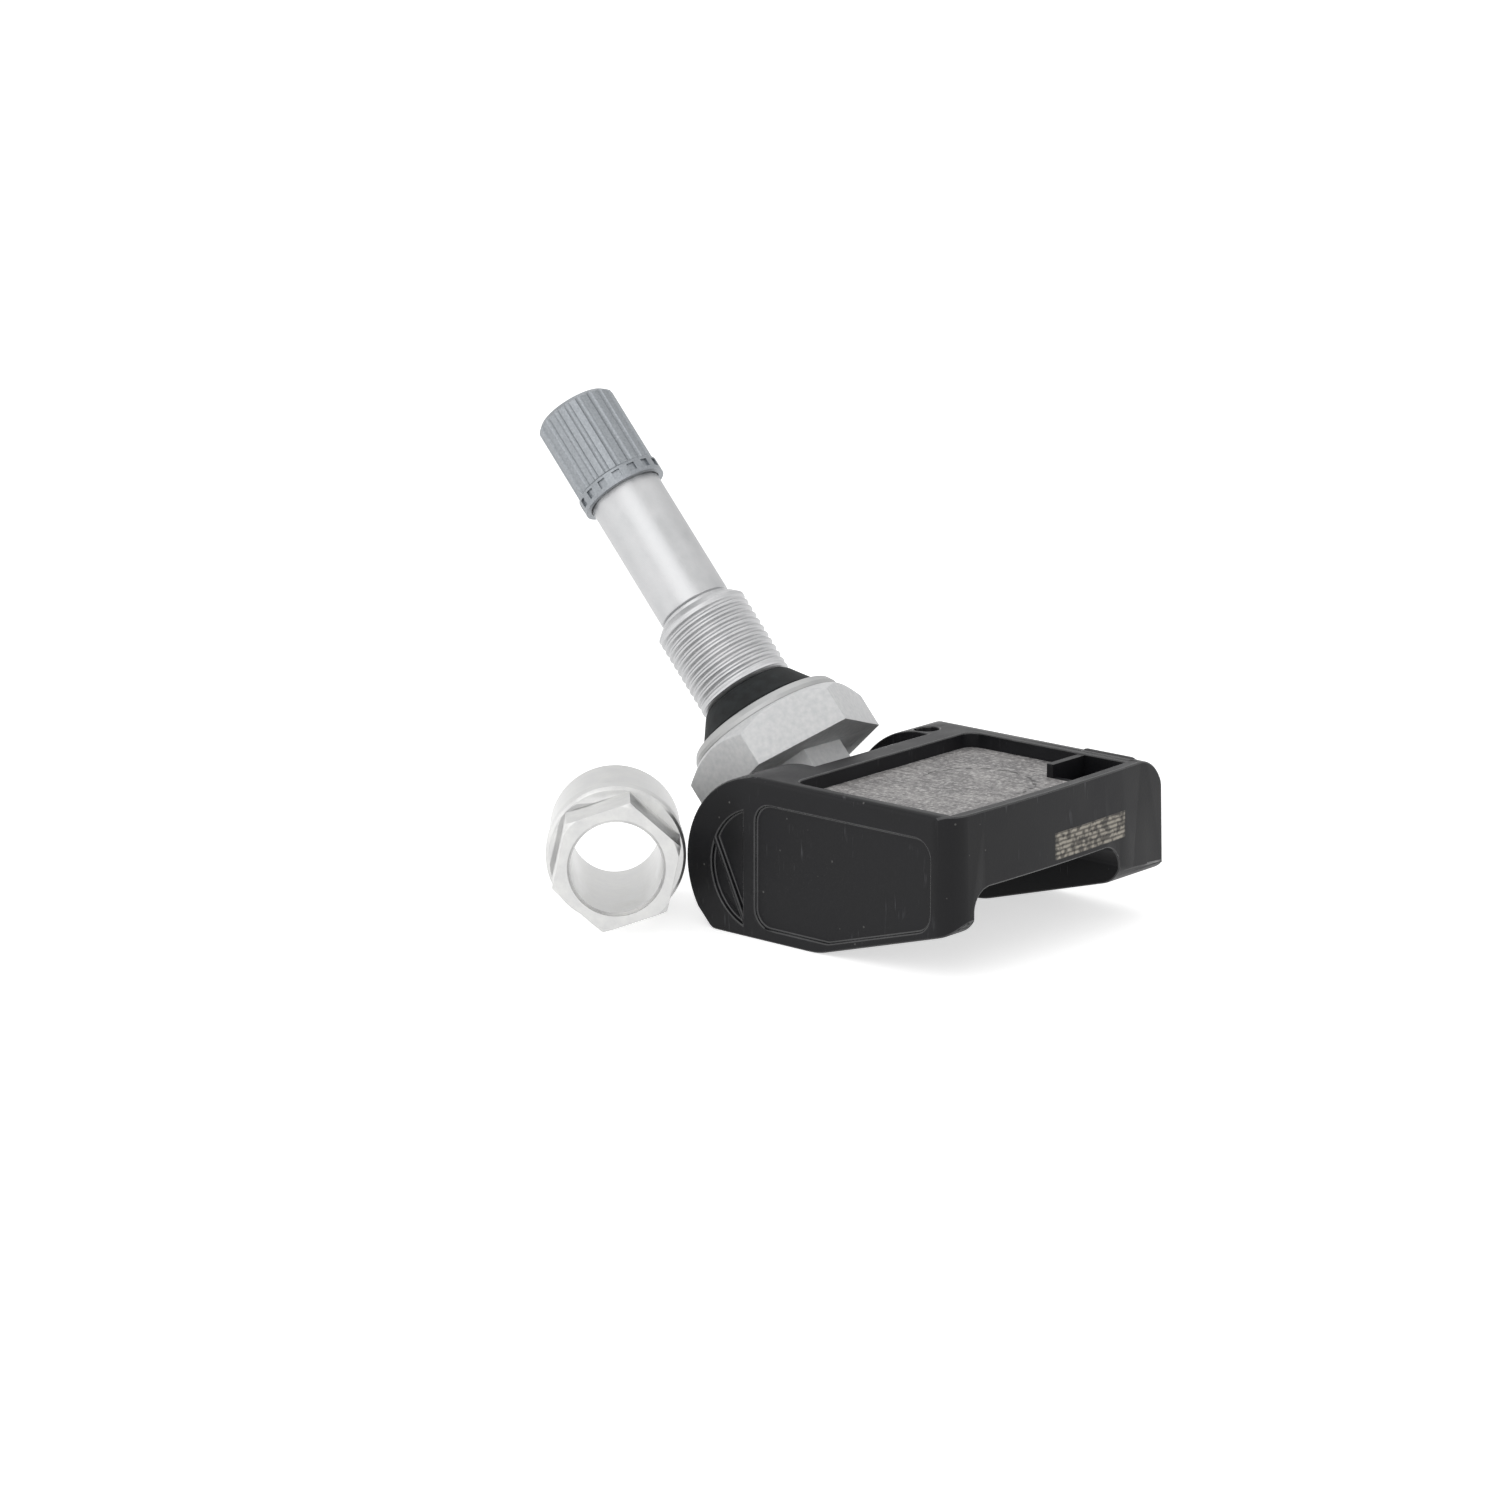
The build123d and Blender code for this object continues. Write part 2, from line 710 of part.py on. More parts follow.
for step in range(spring_turns * spring_chords + 1):
    angle = tau * step / spring_chords
    climb = spring_pitch * step / spring_chords
    spring_points.append((spring_radius * cos(angle), spring_radius * sin(angle), climb))
spring_line = Polyline(*spring_points)
spring_plane = Plane(origin=spring_line @ 0, z_dir=spring_line % 0)
spring_wire = spring_plane * RegularPolygon(spring_wire_radius, 6)
spring_coil = sweep(spring_wire, path=spring_line, transition=Transition.RIGHT)
core_spring = on_valve(Pos(0, 0, core_chamber_base_t + spring_wire_radius) * spring_coil)

# Valve cap: fluted shell with small pockets round its skirt, and the gasket under its roof
cap_mouth_t = tip_thread_start_t - cap_overlap
cap_roof_t = stem_tip_t + gasket_gap + gasket_thickness
cap_top_t = cap_roof_t + cap_roof
cap_bore_radius = tip_thread_radius + cap_thread_clearance
cap_mouth_radius = shank_radius + cap_thread_clearance
cap_shell = turned(
    [
        (cap_mouth_radius, cap_mouth_t),
        (cap_skirt_radius, cap_mouth_t),
        (cap_skirt_radius, cap_mouth_t + cap_skirt_height - cap_skirt_edge),
        (cap_radius, cap_mouth_t + cap_skirt_height),
        (cap_radius, cap_top_t - cap_edge),
        (cap_radius - cap_edge, cap_top_t),
        (0, cap_top_t),
        (0, cap_roof_t),
        (cap_bore_radius, cap_roof_t),
        (cap_bore_radius, tip_thread_start_t + cap_step),
        (cap_mouth_radius, tip_thread_start_t - cap_step),
    ]
)
flute_height = cap_top_t - cap_mouth_t - cap_skirt_height
flute_axis_radius = cap_radius + cap_flute_radius - cap_flute_depth
flute = Pos(flute_axis_radius, 0, cap_mouth_t + cap_skirt_height + flute_height) * Cylinder(
    cap_flute_radius, 2 * flute_height
)
pocket_t = cap_mouth_t + cap_skirt_height / 2
pocket = Pos(cap_skirt_radius, 0, pocket_t) * Box(2 * cap_pocket_depth, cap_pocket_width, cap_pocket_height)
for count in range(cap_flute_count):
    cap_shell = cap_shell - Rot(0, 0, count * 360 / cap_flute_count) * flute
for count in range(cap_pocket_count):
    cap_shell = cap_shell - Rot(0, 0, count * 360 / cap_pocket_count) * pocket
valve_cap = on_valve(cap_shell)
cap_gasket = on_valve(
    turned(
        [
            (0, stem_tip_t + gasket_gap),
            (cap_bore_radius - gasket_gap, stem_tip_t + gasket_gap),
            (cap_bore_radius - gasket_gap, cap_roof_t),
            (0, cap_roof_t),
        ]
    )
)

# Clamp nut: short hexagon, flange and long sleeve, resting on its flange rim and its sleeve end
nut_flange_start = nut_hex_length
nut_rim_start = nut_flange_start + nut_flange_bevel
nut_rim_end = nut_rim_start + nut_flange_rim
nut_round = turned(
    [
        (0, -nut_length),
        (nut_sleeve_radius - nut_end_edge, -nut_length),
        (nut_sleeve_radius, -nut_length + nut_end_edge),
        (nut_sleeve_radius, -nut_rim_end),
        (nut_flange_radius, -nut_rim_end),
        (nut_flange_radius, -nut_rim_start),
        (nut_flange_radius - nut_flange_bevel, -nut_flange_start),
        (0, -nut_flange_start),
    ]
)
nut_corner_radius = nut_flats / sqrt(3)
nut_hex = Pos(0, 0, -nut_flange_start - nut_flange_bevel) * extrude(
    hexagon(nut_flats, 0), amount=nut_hex_length + nut_flange_bevel
)
nut_hex_bevel = turned(
    [
        (0, -nut_hex_length - overcut),
        (nut_corner_radius + overcut, -nut_hex_length - overcut),
        (nut_corner_radius + overcut, -nut_bevel_slope * (nut_bevel_in + overcut)),
        (nut_corner_radius - nut_bevel_in, 0),
        (0, 0),
    ]
)
nut_bore = turned(
    [
        (0, -nut_length - overcut),
        (nut_bore_radius, -nut_length - overcut),
        (nut_bore_radius, -nut_mouth_depth),
        (nut_mouth_radius, 0),
        (nut_mouth_radius, overcut),
        (0, overcut),
    ]
)
nut_drawn = nut_round + (nut_hex & nut_hex_bevel) - nut_bore
nut_tip = degrees(asin((nut_flange_radius - nut_sleeve_radius) / (nut_length - nut_end_edge - nut_rim_end)))
nut_reach_z = nut_rim_end * sin(radians(nut_tip)) + nut_flange_radius * cos(radians(nut_tip))
nut_out_x = sin(radians(nut_heading)) * cos(radians(nut_tip))
nut_out_y = -cos(radians(nut_heading)) * cos(radians(nut_tip))
nut_out_z = sin(radians(nut_tip))
nut_side = (cos(radians(nut_heading)), sin(radians(nut_heading)), 0)
nut_frame = Plane(
    origin=(nut_face_x, nut_face_y, nut_reach_z), x_dir=nut_side, z_dir=(nut_out_x, nut_out_y, nut_out_z)
)
collar_nut = nut_frame.location * Rot(0, 0, nut_turn) * nut_drawn

# All pieces, moved so that the origin lies under the middle of the part
pieces = {
    "housing": housing,
    "potting_fill": potting_fill,
    "circuit_board": circuit_board,
    "coin_cell": coin_cell,
    "cell_tab_bottom": cell_tab_bottom,
    "cell_tab_top": cell_tab_top,
    "sensor_chip": sensor_chip,
    "port_seal": port_seal,
    "port_frame": port_frame,
    "wake_up_coil": wake_up_coil,
    "crystal": crystal,
    "aerial_loop": aerial_loop,
    "chip_capacitors": chip_capacitors,
    "valve_stem": valve_stem,
    "seat_washer": seat_washer,
    "grommet": grommet,
    "fixing_screw": fixing_screw,
    "core_body": core_body,
    "core_seal": core_seal,
    "core_pin": core_pin,
    "pin_seal": pin_seal,
    "core_spring": core_spring,
    "valve_cap": valve_cap,
    "cap_gasket": cap_gasket,
    "collar_nut": collar_nut,
}
corners = [shape.bounding_box() for shape in pieces.values()]
middle_x = (min(box.min.X for box in corners) + max(box.max.X for box in corners)) / 2
middle_y = (min(box.min.Y for box in corners) + max(box.max.Y for box in corners)) / 2
lowest_z = min(box.min.Z for box in corners)
to_origin = Pos(-middle_x, -middle_y, -lowest_z)
os.makedirs("parts", exist_ok=True)
for name, shape in pieces.items():
    export_step(to_origin * shape, "parts/" + name + ".step")
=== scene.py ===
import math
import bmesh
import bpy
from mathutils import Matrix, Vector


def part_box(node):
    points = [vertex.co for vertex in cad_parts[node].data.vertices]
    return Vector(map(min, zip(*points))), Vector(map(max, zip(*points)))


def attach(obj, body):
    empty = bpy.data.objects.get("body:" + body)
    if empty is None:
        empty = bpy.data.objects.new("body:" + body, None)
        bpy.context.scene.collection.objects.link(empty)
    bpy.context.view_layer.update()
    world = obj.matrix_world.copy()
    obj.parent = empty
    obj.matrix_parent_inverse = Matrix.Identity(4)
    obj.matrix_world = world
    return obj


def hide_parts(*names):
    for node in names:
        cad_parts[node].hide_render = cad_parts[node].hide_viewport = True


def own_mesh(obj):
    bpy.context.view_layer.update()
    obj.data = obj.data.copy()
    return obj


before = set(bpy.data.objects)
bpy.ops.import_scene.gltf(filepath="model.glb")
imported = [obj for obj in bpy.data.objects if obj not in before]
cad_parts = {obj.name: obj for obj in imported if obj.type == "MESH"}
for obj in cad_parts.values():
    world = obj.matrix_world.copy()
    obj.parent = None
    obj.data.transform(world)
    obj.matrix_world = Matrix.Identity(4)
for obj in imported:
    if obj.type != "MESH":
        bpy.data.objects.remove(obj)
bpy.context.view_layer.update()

# %% [markdown]
# # A tyre pressure sensor with its clamp-in valve
# The solids come from the CAD frame. This script gives them their finishes and adds what is too fine
# for a solid: rolled threads, a spring of round wire, softened edges and the etched field on the tail.
# The drawing of the part is in millimetres and has its own zero point, so the first cell finds that
# point in the scene from a known corner of the housing.

HOUSING_START_X = 6.1
HOUSING_NEAR_Y = -17.0
housing_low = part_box("housing")[0]
housing_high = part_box("housing")[1]
ZERO = Vector((housing_low.x - HOUSING_START_X / 1000, housing_low.y - HOUSING_NEAR_Y / 1000, 0.0))
TAIL_X = (housing_high.x - ZERO.x) * 1000


def spot(x, y, z):
    """A point of the drawing, in millimetres, as a point of the scene in metres."""
    return ZERO + Vector((x, y, z)) / 1000


print("drawing zero", [round(v, 5) for v in ZERO], "nodes", len(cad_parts))

# %% [markdown]
# ## The valve's own frame
# Stem, washer, grommet, cap and valve core share one slanted axis. A matrix with its Z along that axis
# and its zero at the foot of the rim thread lets threads and spring be made upright first and then laid
# in place.

# %% The valve frame
VALVE_TILT = math.radians(48)
VALVE_FOOT = spot(-0.35, 0, 20.32)
VALVE_OUT = Vector((-math.cos(VALVE_TILT), 0, math.sin(VALVE_TILT)))
valve_side = Vector((0, 1, 0))
valve_across = VALVE_OUT.cross(valve_side)
VALVE = Matrix.Translation(VALVE_FOOT) @ Matrix(
    (
        (valve_side.x, valve_across.x, VALVE_OUT.x, 0),
        (valve_side.y, valve_across.y, VALVE_OUT.y, 0),
        (valve_side.z, valve_across.z, VALVE_OUT.z, 0),
        (0, 0, 0, 1),
    )
)
TO_VALVE = VALVE.inverted()
print("valve foot", [round(v, 5) for v in VALVE_FOOT])

# %% [markdown]
# ## Helpers
# A few small helpers carry the whole script: one turns a paint code into linear light, two turn a real
# size into the scale of a texture, one adds a node with its settings and links, and one starts a finish
# from its shader. Some nodes are best set by number. A Map Range takes the range that comes in at 1 and
# 2 and the range that goes out at 3 and 4. A Mix of colours has its factor at 0, its colours at 6 and 7
# and its result at output 2.

# %% Colours, sizes, nodes and finishes


def tone(code):
    """An sRGB hex code as linear RGBA."""
    parts = [int(code[i : i + 2], 16) / 255 for i in (0, 2, 4)]
    return [p / 12.92 if p <= 0.04045 else ((p + 0.055) / 1.055) ** 2.4 for p in parts] + [1.0]


def grain_scale(size):
    """The scale of a noise whose grains are about this many millimetres wide."""
    return 1000 / size


def wave_scale(period):
    """The scale of a wave texture that repeats after this many millimetres."""
    return 314 / period


def add(tree, kind, settings=None, links=None):
    """Adds a node. Settings name a socket, its number or a property; links name the input a socket feeds."""
    made = tree.nodes.new(kind)
    for name, value in (settings or {}).items():
        if isinstance(name, int) or name in made.inputs:
            made.inputs[name].default_value = value
        else:
            setattr(made, name, value)
    for name, source in (links or {}).items():
        tree.links.new(source, made.inputs[name])
    return made


def start_finish(name, settings):
    """A new material with its shader set. Returns it with its tree, the shader and object coordinates."""
    made = bpy.data.materials.new(name)
    made.use_nodes = True
    tree = made.node_tree
    tree.nodes.clear()
    shader = add(tree, "ShaderNodeBsdfPrincipled", settings)
    add(tree, "ShaderNodeOutputMaterial", links={"Surface": shader.outputs["BSDF"]})
    place = add(tree, "ShaderNodeTexCoord").outputs["Object"]
    return made, tree, shader, place


print("helpers ready")

# %% [markdown]
# ## Black glass-filled nylon
# The housing is injection moulded. Its skin is satin, with a fine spark-eroded grain of about a quarter
# of a millimetre and slow shade changes where the melt flowed. The flow goes into colour and gloss, the
# grain into the bump, so that the light breaks on it without any heavier mesh.

# %% Nylon skin
nylon, tree, shader, place = start_finish(
    "glass_filled_nylon_moulded", {"Roughness": 0.42, "IOR": 1.53, "Specular IOR Level": 0.2}
)
grain = add(tree, "ShaderNodeTexNoise", {"Scale": grain_scale(0.25), "Detail": 3.0}, {"Vector": place})
flow = add(
    tree,
    "ShaderNodeTexNoise",
    {"Scale": grain_scale(6.0), "Detail": 4.0, "Roughness": 0.6},
    {"Vector": place},
)
shade = add(tree, "ShaderNodeValToRGB", links={"Fac": flow.outputs["Fac"]})
shade.color_ramp.elements[0].position = 0.3
shade.color_ramp.elements[0].color = tone("121214")
shade.color_ramp.elements[1].position = 0.75
shade.color_ramp.elements[1].color = tone("1b1b1e")
gloss = add(tree, "ShaderNodeMapRange", {1: 0.3, 2: 0.7, 3: 0.36, 4: 0.5}, {0: flow.outputs["Fac"]})
tree.links.new(gloss.outputs["Result"], shader.inputs["Roughness"])
relief = add(
    tree,
    "ShaderNodeBump",
    {"Strength": 0.22, "Distance": 0.04 / 1000},
    {"Height": grain.outputs["Fac"]},
)
tree.links.new(relief.outputs["Normal"], shader.inputs["Normal"])
print("finish", nylon.name)

# %% [markdown]
# ## Rub marks and dust
# A black moulding shows every touch. The rub marks are upright strokes, about 0.4 mm wide and 4 mm
# long, that show only in patches, so a stretched noise is multiplied by a coarse one. Dust is a scatter
# of tiny dots, which are the middles of Voronoi cells.

# %% Rubs and dust on the nylon
STROKES_PER_METRE = (2600, 2600, 260)
streak_place = add(tree, "ShaderNodeMapping", {"Scale": STROKES_PER_METRE}, {"Vector": place})
streaks = add(
    tree,
    "ShaderNodeTexNoise",
    {"Scale": 1.0, "Detail": 2.0},
    {"Vector": streak_place.outputs["Vector"]},
)
patches = add(tree, "ShaderNodeTexNoise", {"Scale": grain_scale(4.0), "Detail": 3.0}, {"Vector": place})
patch_mask = add(tree, "ShaderNodeMapRange", {1: 0.56, 2: 0.7}, {0: patches.outputs["Fac"]})
streak_mask = add(tree, "ShaderNodeMapRange", {1: 0.6, 2: 0.72}, {0: streaks.outputs["Fac"]})
rub = add(
    tree,
    "ShaderNodeMath",
    {"operation": "MULTIPLY"},
    {0: patch_mask.outputs["Result"], 1: streak_mask.outputs["Result"]},
)
rub_share = add(tree, "ShaderNodeMath", {"operation": "MULTIPLY", 1: 0.35}, {0: rub.outputs["Value"]})
rubbed = add(
    tree,
    "ShaderNodeMix",
    {"data_type": "RGBA", 7: tone("77777b")},
    {0: rub_share.outputs["Value"], 6: shade.outputs["Color"]},
)
dust = add(
    tree,
    "ShaderNodeTexVoronoi",
    {"Scale": grain_scale(2.2), "Randomness": 1.0},
    {"Vector": place},
)
dust_spot = add(tree, "ShaderNodeMapRange", {1: 0.07, 2: 0.03}, {0: dust.outputs["Distance"]})
dust_share = add(
    tree,
    "ShaderNodeMath",
    {"operation": "MULTIPLY", 1: 0.4},
    {0: dust_spot.outputs["Result"]},
)
dusty = add(
    tree,
    "ShaderNodeMix",
    {"data_type": "RGBA", 7: tone("8d8c8a")},
    {0: dust_share.outputs["Value"], 6: rubbed.outputs[2]},
)
print("rub marks and dust on", nylon.name)

# %% [markdown]
# ## The etched field
# On the tail a laser has bleached a small field of the nylon. No edge of the mesh follows it, so a box
# in object space marks its place: the way from its middle is counted in half widths, and a point lies
# inside where the largest of the three is under one. A wave gives the hatch strokes, and a noise lets
# some of them skip.

# %% Etched field on the nylon
FIELD_MIDDLE = spot(TAIL_X, 5.0, 11.1)
FIELD_HALF_WIDTHS = (0.0008, 0.0060, 0.0014)
from_field = add(tree, "ShaderNodeVectorMath", {"operation": "SUBTRACT", 1: FIELD_MIDDLE}, {0: place})
in_halves = add(
    tree,
    "ShaderNodeVectorMath",
    {"operation": "DIVIDE", 1: FIELD_HALF_WIDTHS},
    {0: from_field.outputs["Vector"]},
)
sides = add(tree, "ShaderNodeVectorMath", {"operation": "ABSOLUTE"}, {0: in_halves.outputs["Vector"]})
side = add(tree, "ShaderNodeSeparateXYZ", links={0: sides.outputs["Vector"]})
wider = add(tree, "ShaderNodeMath", {"operation": "MAXIMUM"}, {0: side.outputs["X"], 1: side.outputs["Y"]})
widest = add(
    tree,
    "ShaderNodeMath",
    {"operation": "MAXIMUM"},
    {0: wider.outputs["Value"], 1: side.outputs["Z"]},
)
field = add(tree, "ShaderNodeMapRange", {1: 1.02, 2: 0.98}, {0: widest.outputs["Value"]})
strokes = add(
    tree,
    "ShaderNodeTexWave",
    {
        "wave_type": "BANDS",
        "bands_direction": "Z",
        "Scale": wave_scale(0.46),
        "Distortion": 1.2,
        "Detail Scale": 3.0,
    },
    {"Vector": place},
)
stroke_share = add(
    tree,
    "ShaderNodeMapRange",
    {1: 0.2, 2: 0.7, 3: 0.35, 4: 1.0},
    {0: strokes.outputs["Fac"]},
)
skips = add(tree, "ShaderNodeTexNoise", {"Scale": grain_scale(0.7), "Detail": 1.0}, {"Vector": place})
skip_share = add(
    tree,
    "ShaderNodeMapRange",
    {1: 0.4, 2: 0.56, 3: 0.25, 4: 0.95},
    {0: skips.outputs["Fac"]},
)
hatch = add(
    tree,
    "ShaderNodeMath",
    {"operation": "MULTIPLY"},
    {0: stroke_share.outputs["Result"], 1: skip_share.outputs["Result"]},
)
bleach = add(
    tree,
    "ShaderNodeMath",
    {"operation": "MULTIPLY"},
    {0: field.outputs["Result"], 1: hatch.outputs["Value"]},
)
etched = add(
    tree,
    "ShaderNodeMix",
    {"data_type": "RGBA", 7: tone("d0c9bc")},
    {0: bleach.outputs["Value"], 6: dusty.outputs[2]},
)
tree.links.new(etched.outputs[2], shader.inputs["Base Color"])
print("etched field at", [round(v, 4) for v in FIELD_MIDDLE])

# %% [markdown]
# ## Nylon edges with a painted highlight
# The rounded edges of the moulding get a finish of their own. It is glossier than the walls and painted
# paler, and the paler shade is a painted highlight along the edges. The Bevel modifier of the housing
# later puts it on the rounded edges alone.

# %% Nylon edges
nylon_edge_highlight, tree, shader, place = start_finish(
    "glass_filled_nylon_painted_edge_highlight", {"Roughness": 0.24, "IOR": 1.53, "Specular IOR Level": 0.5}
)
edge_sheen = add(tree, "ShaderNodeTexNoise", {"Scale": grain_scale(2.5), "Detail": 3.0}, {"Vector": place})
# The paler shade, 3a3a3c, is a painted highlight along the rounded edges; the lower roughness is real gloss.
shade = add(tree, "ShaderNodeValToRGB", links={"Fac": edge_sheen.outputs["Fac"]})
shade.color_ramp.elements[0].position = 0.4
shade.color_ramp.elements[0].color = tone("1b1b1d")
shade.color_ramp.elements[1].position = 0.72
shade.color_ramp.elements[1].color = tone("3a3a3c")
tree.links.new(shade.outputs["Color"], shader.inputs["Base Color"])
gloss = add(tree, "ShaderNodeMapRange", {1: 0.35, 2: 0.7, 3: 0.18, 4: 0.32}, {0: edge_sheen.outputs["Fac"]})
tree.links.new(gloss.outputs["Result"], shader.inputs["Roughness"])
print("finish", nylon_edge_highlight.name)

# %% [markdown]
# ## Grey casting resin
# The tray is filled with a mineral-loaded resin that cures matt. The filler speckles its skin, roughly
# 0.4 mm a grain. One noise gives both: its high parts become pale specks, its low parts dark pits, and
# it also feeds the bump. A slower noise clouds the grey under them.

# %% Resin
resin, tree, shader, place = start_finish("grey_casting_resin", {"Roughness": 0.62, "IOR": 1.55})
speck = add(
    tree,
    "ShaderNodeTexNoise",
    {"Scale": grain_scale(0.42), "Detail": 2.0, "Roughness": 0.7},
    {"Vector": place},
)
cloud = add(tree, "ShaderNodeTexNoise", {"Scale": grain_scale(4.0), "Detail": 3.0}, {"Vector": place})
body_tone = add(tree, "ShaderNodeValToRGB", links={"Fac": cloud.outputs["Fac"]})
body_tone.color_ramp.elements[0].position = 0.35
body_tone.color_ramp.elements[0].color = tone("807e7e")
body_tone.color_ramp.elements[1].position = 0.68
body_tone.color_ramp.elements[1].color = tone("a19e9d")
speck_mask = add(tree, "ShaderNodeMapRange", {1: 0.53, 2: 0.62}, {0: speck.outputs["Fac"]})
speck_share = add(
    tree,
    "ShaderNodeMath",
    {"operation": "MULTIPLY", 1: 0.5},
    {0: speck_mask.outputs["Result"]},
)
speckled = add(
    tree,
    "ShaderNodeMix",
    {"data_type": "RGBA", 7: tone("dcdad8")},
    {0: speck_share.outputs["Value"], 6: body_tone.outputs["Color"]},
)
pit_mask = add(tree, "ShaderNodeMapRange", {1: 0.46, 2: 0.37}, {0: speck.outputs["Fac"]})
pit_share = add(tree, "ShaderNodeMath", {"operation": "MULTIPLY", 1: 0.5}, {0: pit_mask.outputs["Result"]})
pitted = add(
    tree,
    "ShaderNodeMix",
    {"data_type": "RGBA", 7: tone("424141")},
    {0: pit_share.outputs["Value"], 6: speckled.outputs[2]},
)
relief = add(
    tree,
    "ShaderNodeBump",
    {"Strength": 0.5, "Distance": 0.08 / 1000},
    {"Height": speck.outputs["Fac"]},
)
tree.links.new(relief.outputs["Normal"], shader.inputs["Normal"])
print("finish", resin.name)

# %% [markdown]
# ## Rows and ring on the resin
# The skin of the resin lies in faint rows along the tray and carries a broken dark ring, on the half
# away from the near wall. The rows are a noise that is stretched along X. For the ring, the way from
# its middle is measured flat and compared with its radius: a thin line is left where the two agree, and
# a noise breaks it.

# %% Rows and ring
ROW_LENGTH = 4.5
ROW_WIDTH = 0.35
RING_MIDDLE = spot(29.7, 0.9, 0)
RING_RADIUS = 6.1
LINE_FULL = 0.12
LINE_GONE = 0.3
HALF_FADE = 2.0
row_place = add(
    tree,
    "ShaderNodeMapping",
    {"Scale": (grain_scale(ROW_LENGTH), grain_scale(ROW_WIDTH), grain_scale(ROW_LENGTH))},
    {"Vector": place},
)
rows = add(
    tree,
    "ShaderNodeTexNoise",
    {"Scale": 1.0, "Detail": 2.0},
    {"Vector": row_place.outputs["Vector"]},
)
row_mask = add(tree, "ShaderNodeMapRange", {1: 0.52, 2: 0.66, 4: 0.6}, {0: rows.outputs["Fac"]})
rowed = add(
    tree,
    "ShaderNodeMix",
    {"data_type": "RGBA", 7: tone("6a6868")},
    {0: row_mask.outputs["Result"], 6: pitted.outputs[2]},
)
from_ring = add(tree, "ShaderNodeVectorMath", {"operation": "SUBTRACT", 1: RING_MIDDLE}, {0: place})
flat_ring = add(
    tree,
    "ShaderNodeVectorMath",
    {"operation": "MULTIPLY", 1: (1, 1, 0)},
    {0: from_ring.outputs["Vector"]},
)
reach = add(tree, "ShaderNodeVectorMath", {"operation": "LENGTH"}, {0: flat_ring.outputs["Vector"]})
off_rim = add(
    tree,
    "ShaderNodeMath",
    {"operation": "SUBTRACT", 1: RING_RADIUS / 1000},
    {0: reach.outputs["Value"]},
)
rim_gap = add(tree, "ShaderNodeMath", {"operation": "ABSOLUTE"}, {0: off_rim.outputs["Value"]})
rim_line = add(
    tree,
    "ShaderNodeMapRange",
    {1: LINE_GONE / 1000, 2: LINE_FULL / 1000},
    {0: rim_gap.outputs["Value"]},
)
breaks = add(tree, "ShaderNodeTexNoise", {"Scale": grain_scale(0.8), "Detail": 0.0}, {"Vector": place})
broken = add(tree, "ShaderNodeMapRange", {1: 0.42, 2: 0.47}, {0: breaks.outputs["Fac"]})
ring_side = add(tree, "ShaderNodeSeparateXYZ", links={0: from_ring.outputs["Vector"]})
far_half = add(tree, "ShaderNodeMapRange", {1: -HALF_FADE / 1000, 2: 0.0}, {0: ring_side.outputs["Y"]})
rim_mark = add(
    tree,
    "ShaderNodeMath",
    {"operation": "MULTIPLY"},
    {0: rim_line.outputs["Result"], 1: broken.outputs["Result"]},
)
far_mark = add(
    tree,
    "ShaderNodeMath",
    {"operation": "MULTIPLY"},
    {0: rim_mark.outputs["Value"], 1: far_half.outputs["Result"]},
)
rim_share = add(tree, "ShaderNodeMath", {"operation": "MULTIPLY", 1: 0.85}, {0: far_mark.outputs["Value"]})
lined = add(
    tree,
    "ShaderNodeMix",
    {"data_type": "RGBA", 7: tone("2c2c2c")},
    {0: rim_share.outputs["Value"], 6: rowed.outputs[2]},
)
tree.links.new(lined.outputs[2], shader.inputs["Base Color"])
print("ring of", RING_RADIUS, "mm on", resin.name)

# %% [markdown]
# ## Turned aluminium
# The stem is turned from bar, so its marks run round the valve axis. A Mapping node lays the
# coordinates along that axis, and a wave along it gives the tool feed, about 0.12 mm a turn, drawn a
# little coarser here so that it shows. The washer is turned as well, with a rougher cut.

# %% Aluminium
VALVE_TURN = TO_VALVE.to_euler()
VALVE_SHIFT = TO_VALVE.to_translation()


def turned_finish(name, colours, roughness, feed, depth):
    """Aluminium with tool marks round the valve axis, the feed in millimetres a turn."""
    made, tree, shader, place = start_finish(name, {"Metallic": 1.0, "Roughness": roughness})
    along = add(
        tree,
        "ShaderNodeMapping",
        {"Location": VALVE_SHIFT, "Rotation": VALVE_TURN},
        {"Vector": place},
    )
    rings = add(
        tree,
        "ShaderNodeTexWave",
        {
            "wave_type": "BANDS",
            "bands_direction": "Z",
            "Scale": wave_scale(feed),
            "Distortion": 0.6,
            "Detail": 1.0,
        },
        {"Vector": along.outputs["Vector"]},
    )
    haze = add(
        tree,
        "ShaderNodeTexNoise",
        {"Scale": grain_scale(3.0), "Detail": 5.0, "Roughness": 0.65},
        {"Vector": place},
    )
    ramp = add(tree, "ShaderNodeValToRGB", links={"Fac": haze.outputs["Fac"]})
    ramp.color_ramp.elements[0].position = 0.3
    ramp.color_ramp.elements[0].color = tone(colours[0])
    ramp.color_ramp.elements[1].position = 0.7
    ramp.color_ramp.elements[1].color = tone(colours[1])
    tree.links.new(ramp.outputs["Color"], shader.inputs["Base Color"])
    dull = add(
        tree,
        "ShaderNodeMapRange",
        {1: 0.3, 2: 0.7, 3: roughness - 0.06, 4: roughness + 0.08},
        {0: haze.outputs["Fac"]},
    )
    tree.links.new(dull.outputs["Result"], shader.inputs["Roughness"])
    relief = add(
        tree,
        "ShaderNodeBump",
        {"Strength": depth, "Distance": 0.02 / 1000},
        {"Height": rings.outputs["Fac"]},
    )
    tree.links.new(relief.outputs["Normal"], shader.inputs["Normal"])
    return made


stem_metal = turned_finish("turned_aluminium_stem", ("b4b5b6", "c1c1c2"), 0.4, 0.16, 0.25)
washer_metal = turned_finish("turned_aluminium_washer", ("a0a1a2", "b0b0af"), 0.48, 0.2, 0.3)
print("finishes", stem_metal.name, washer_metal.name)

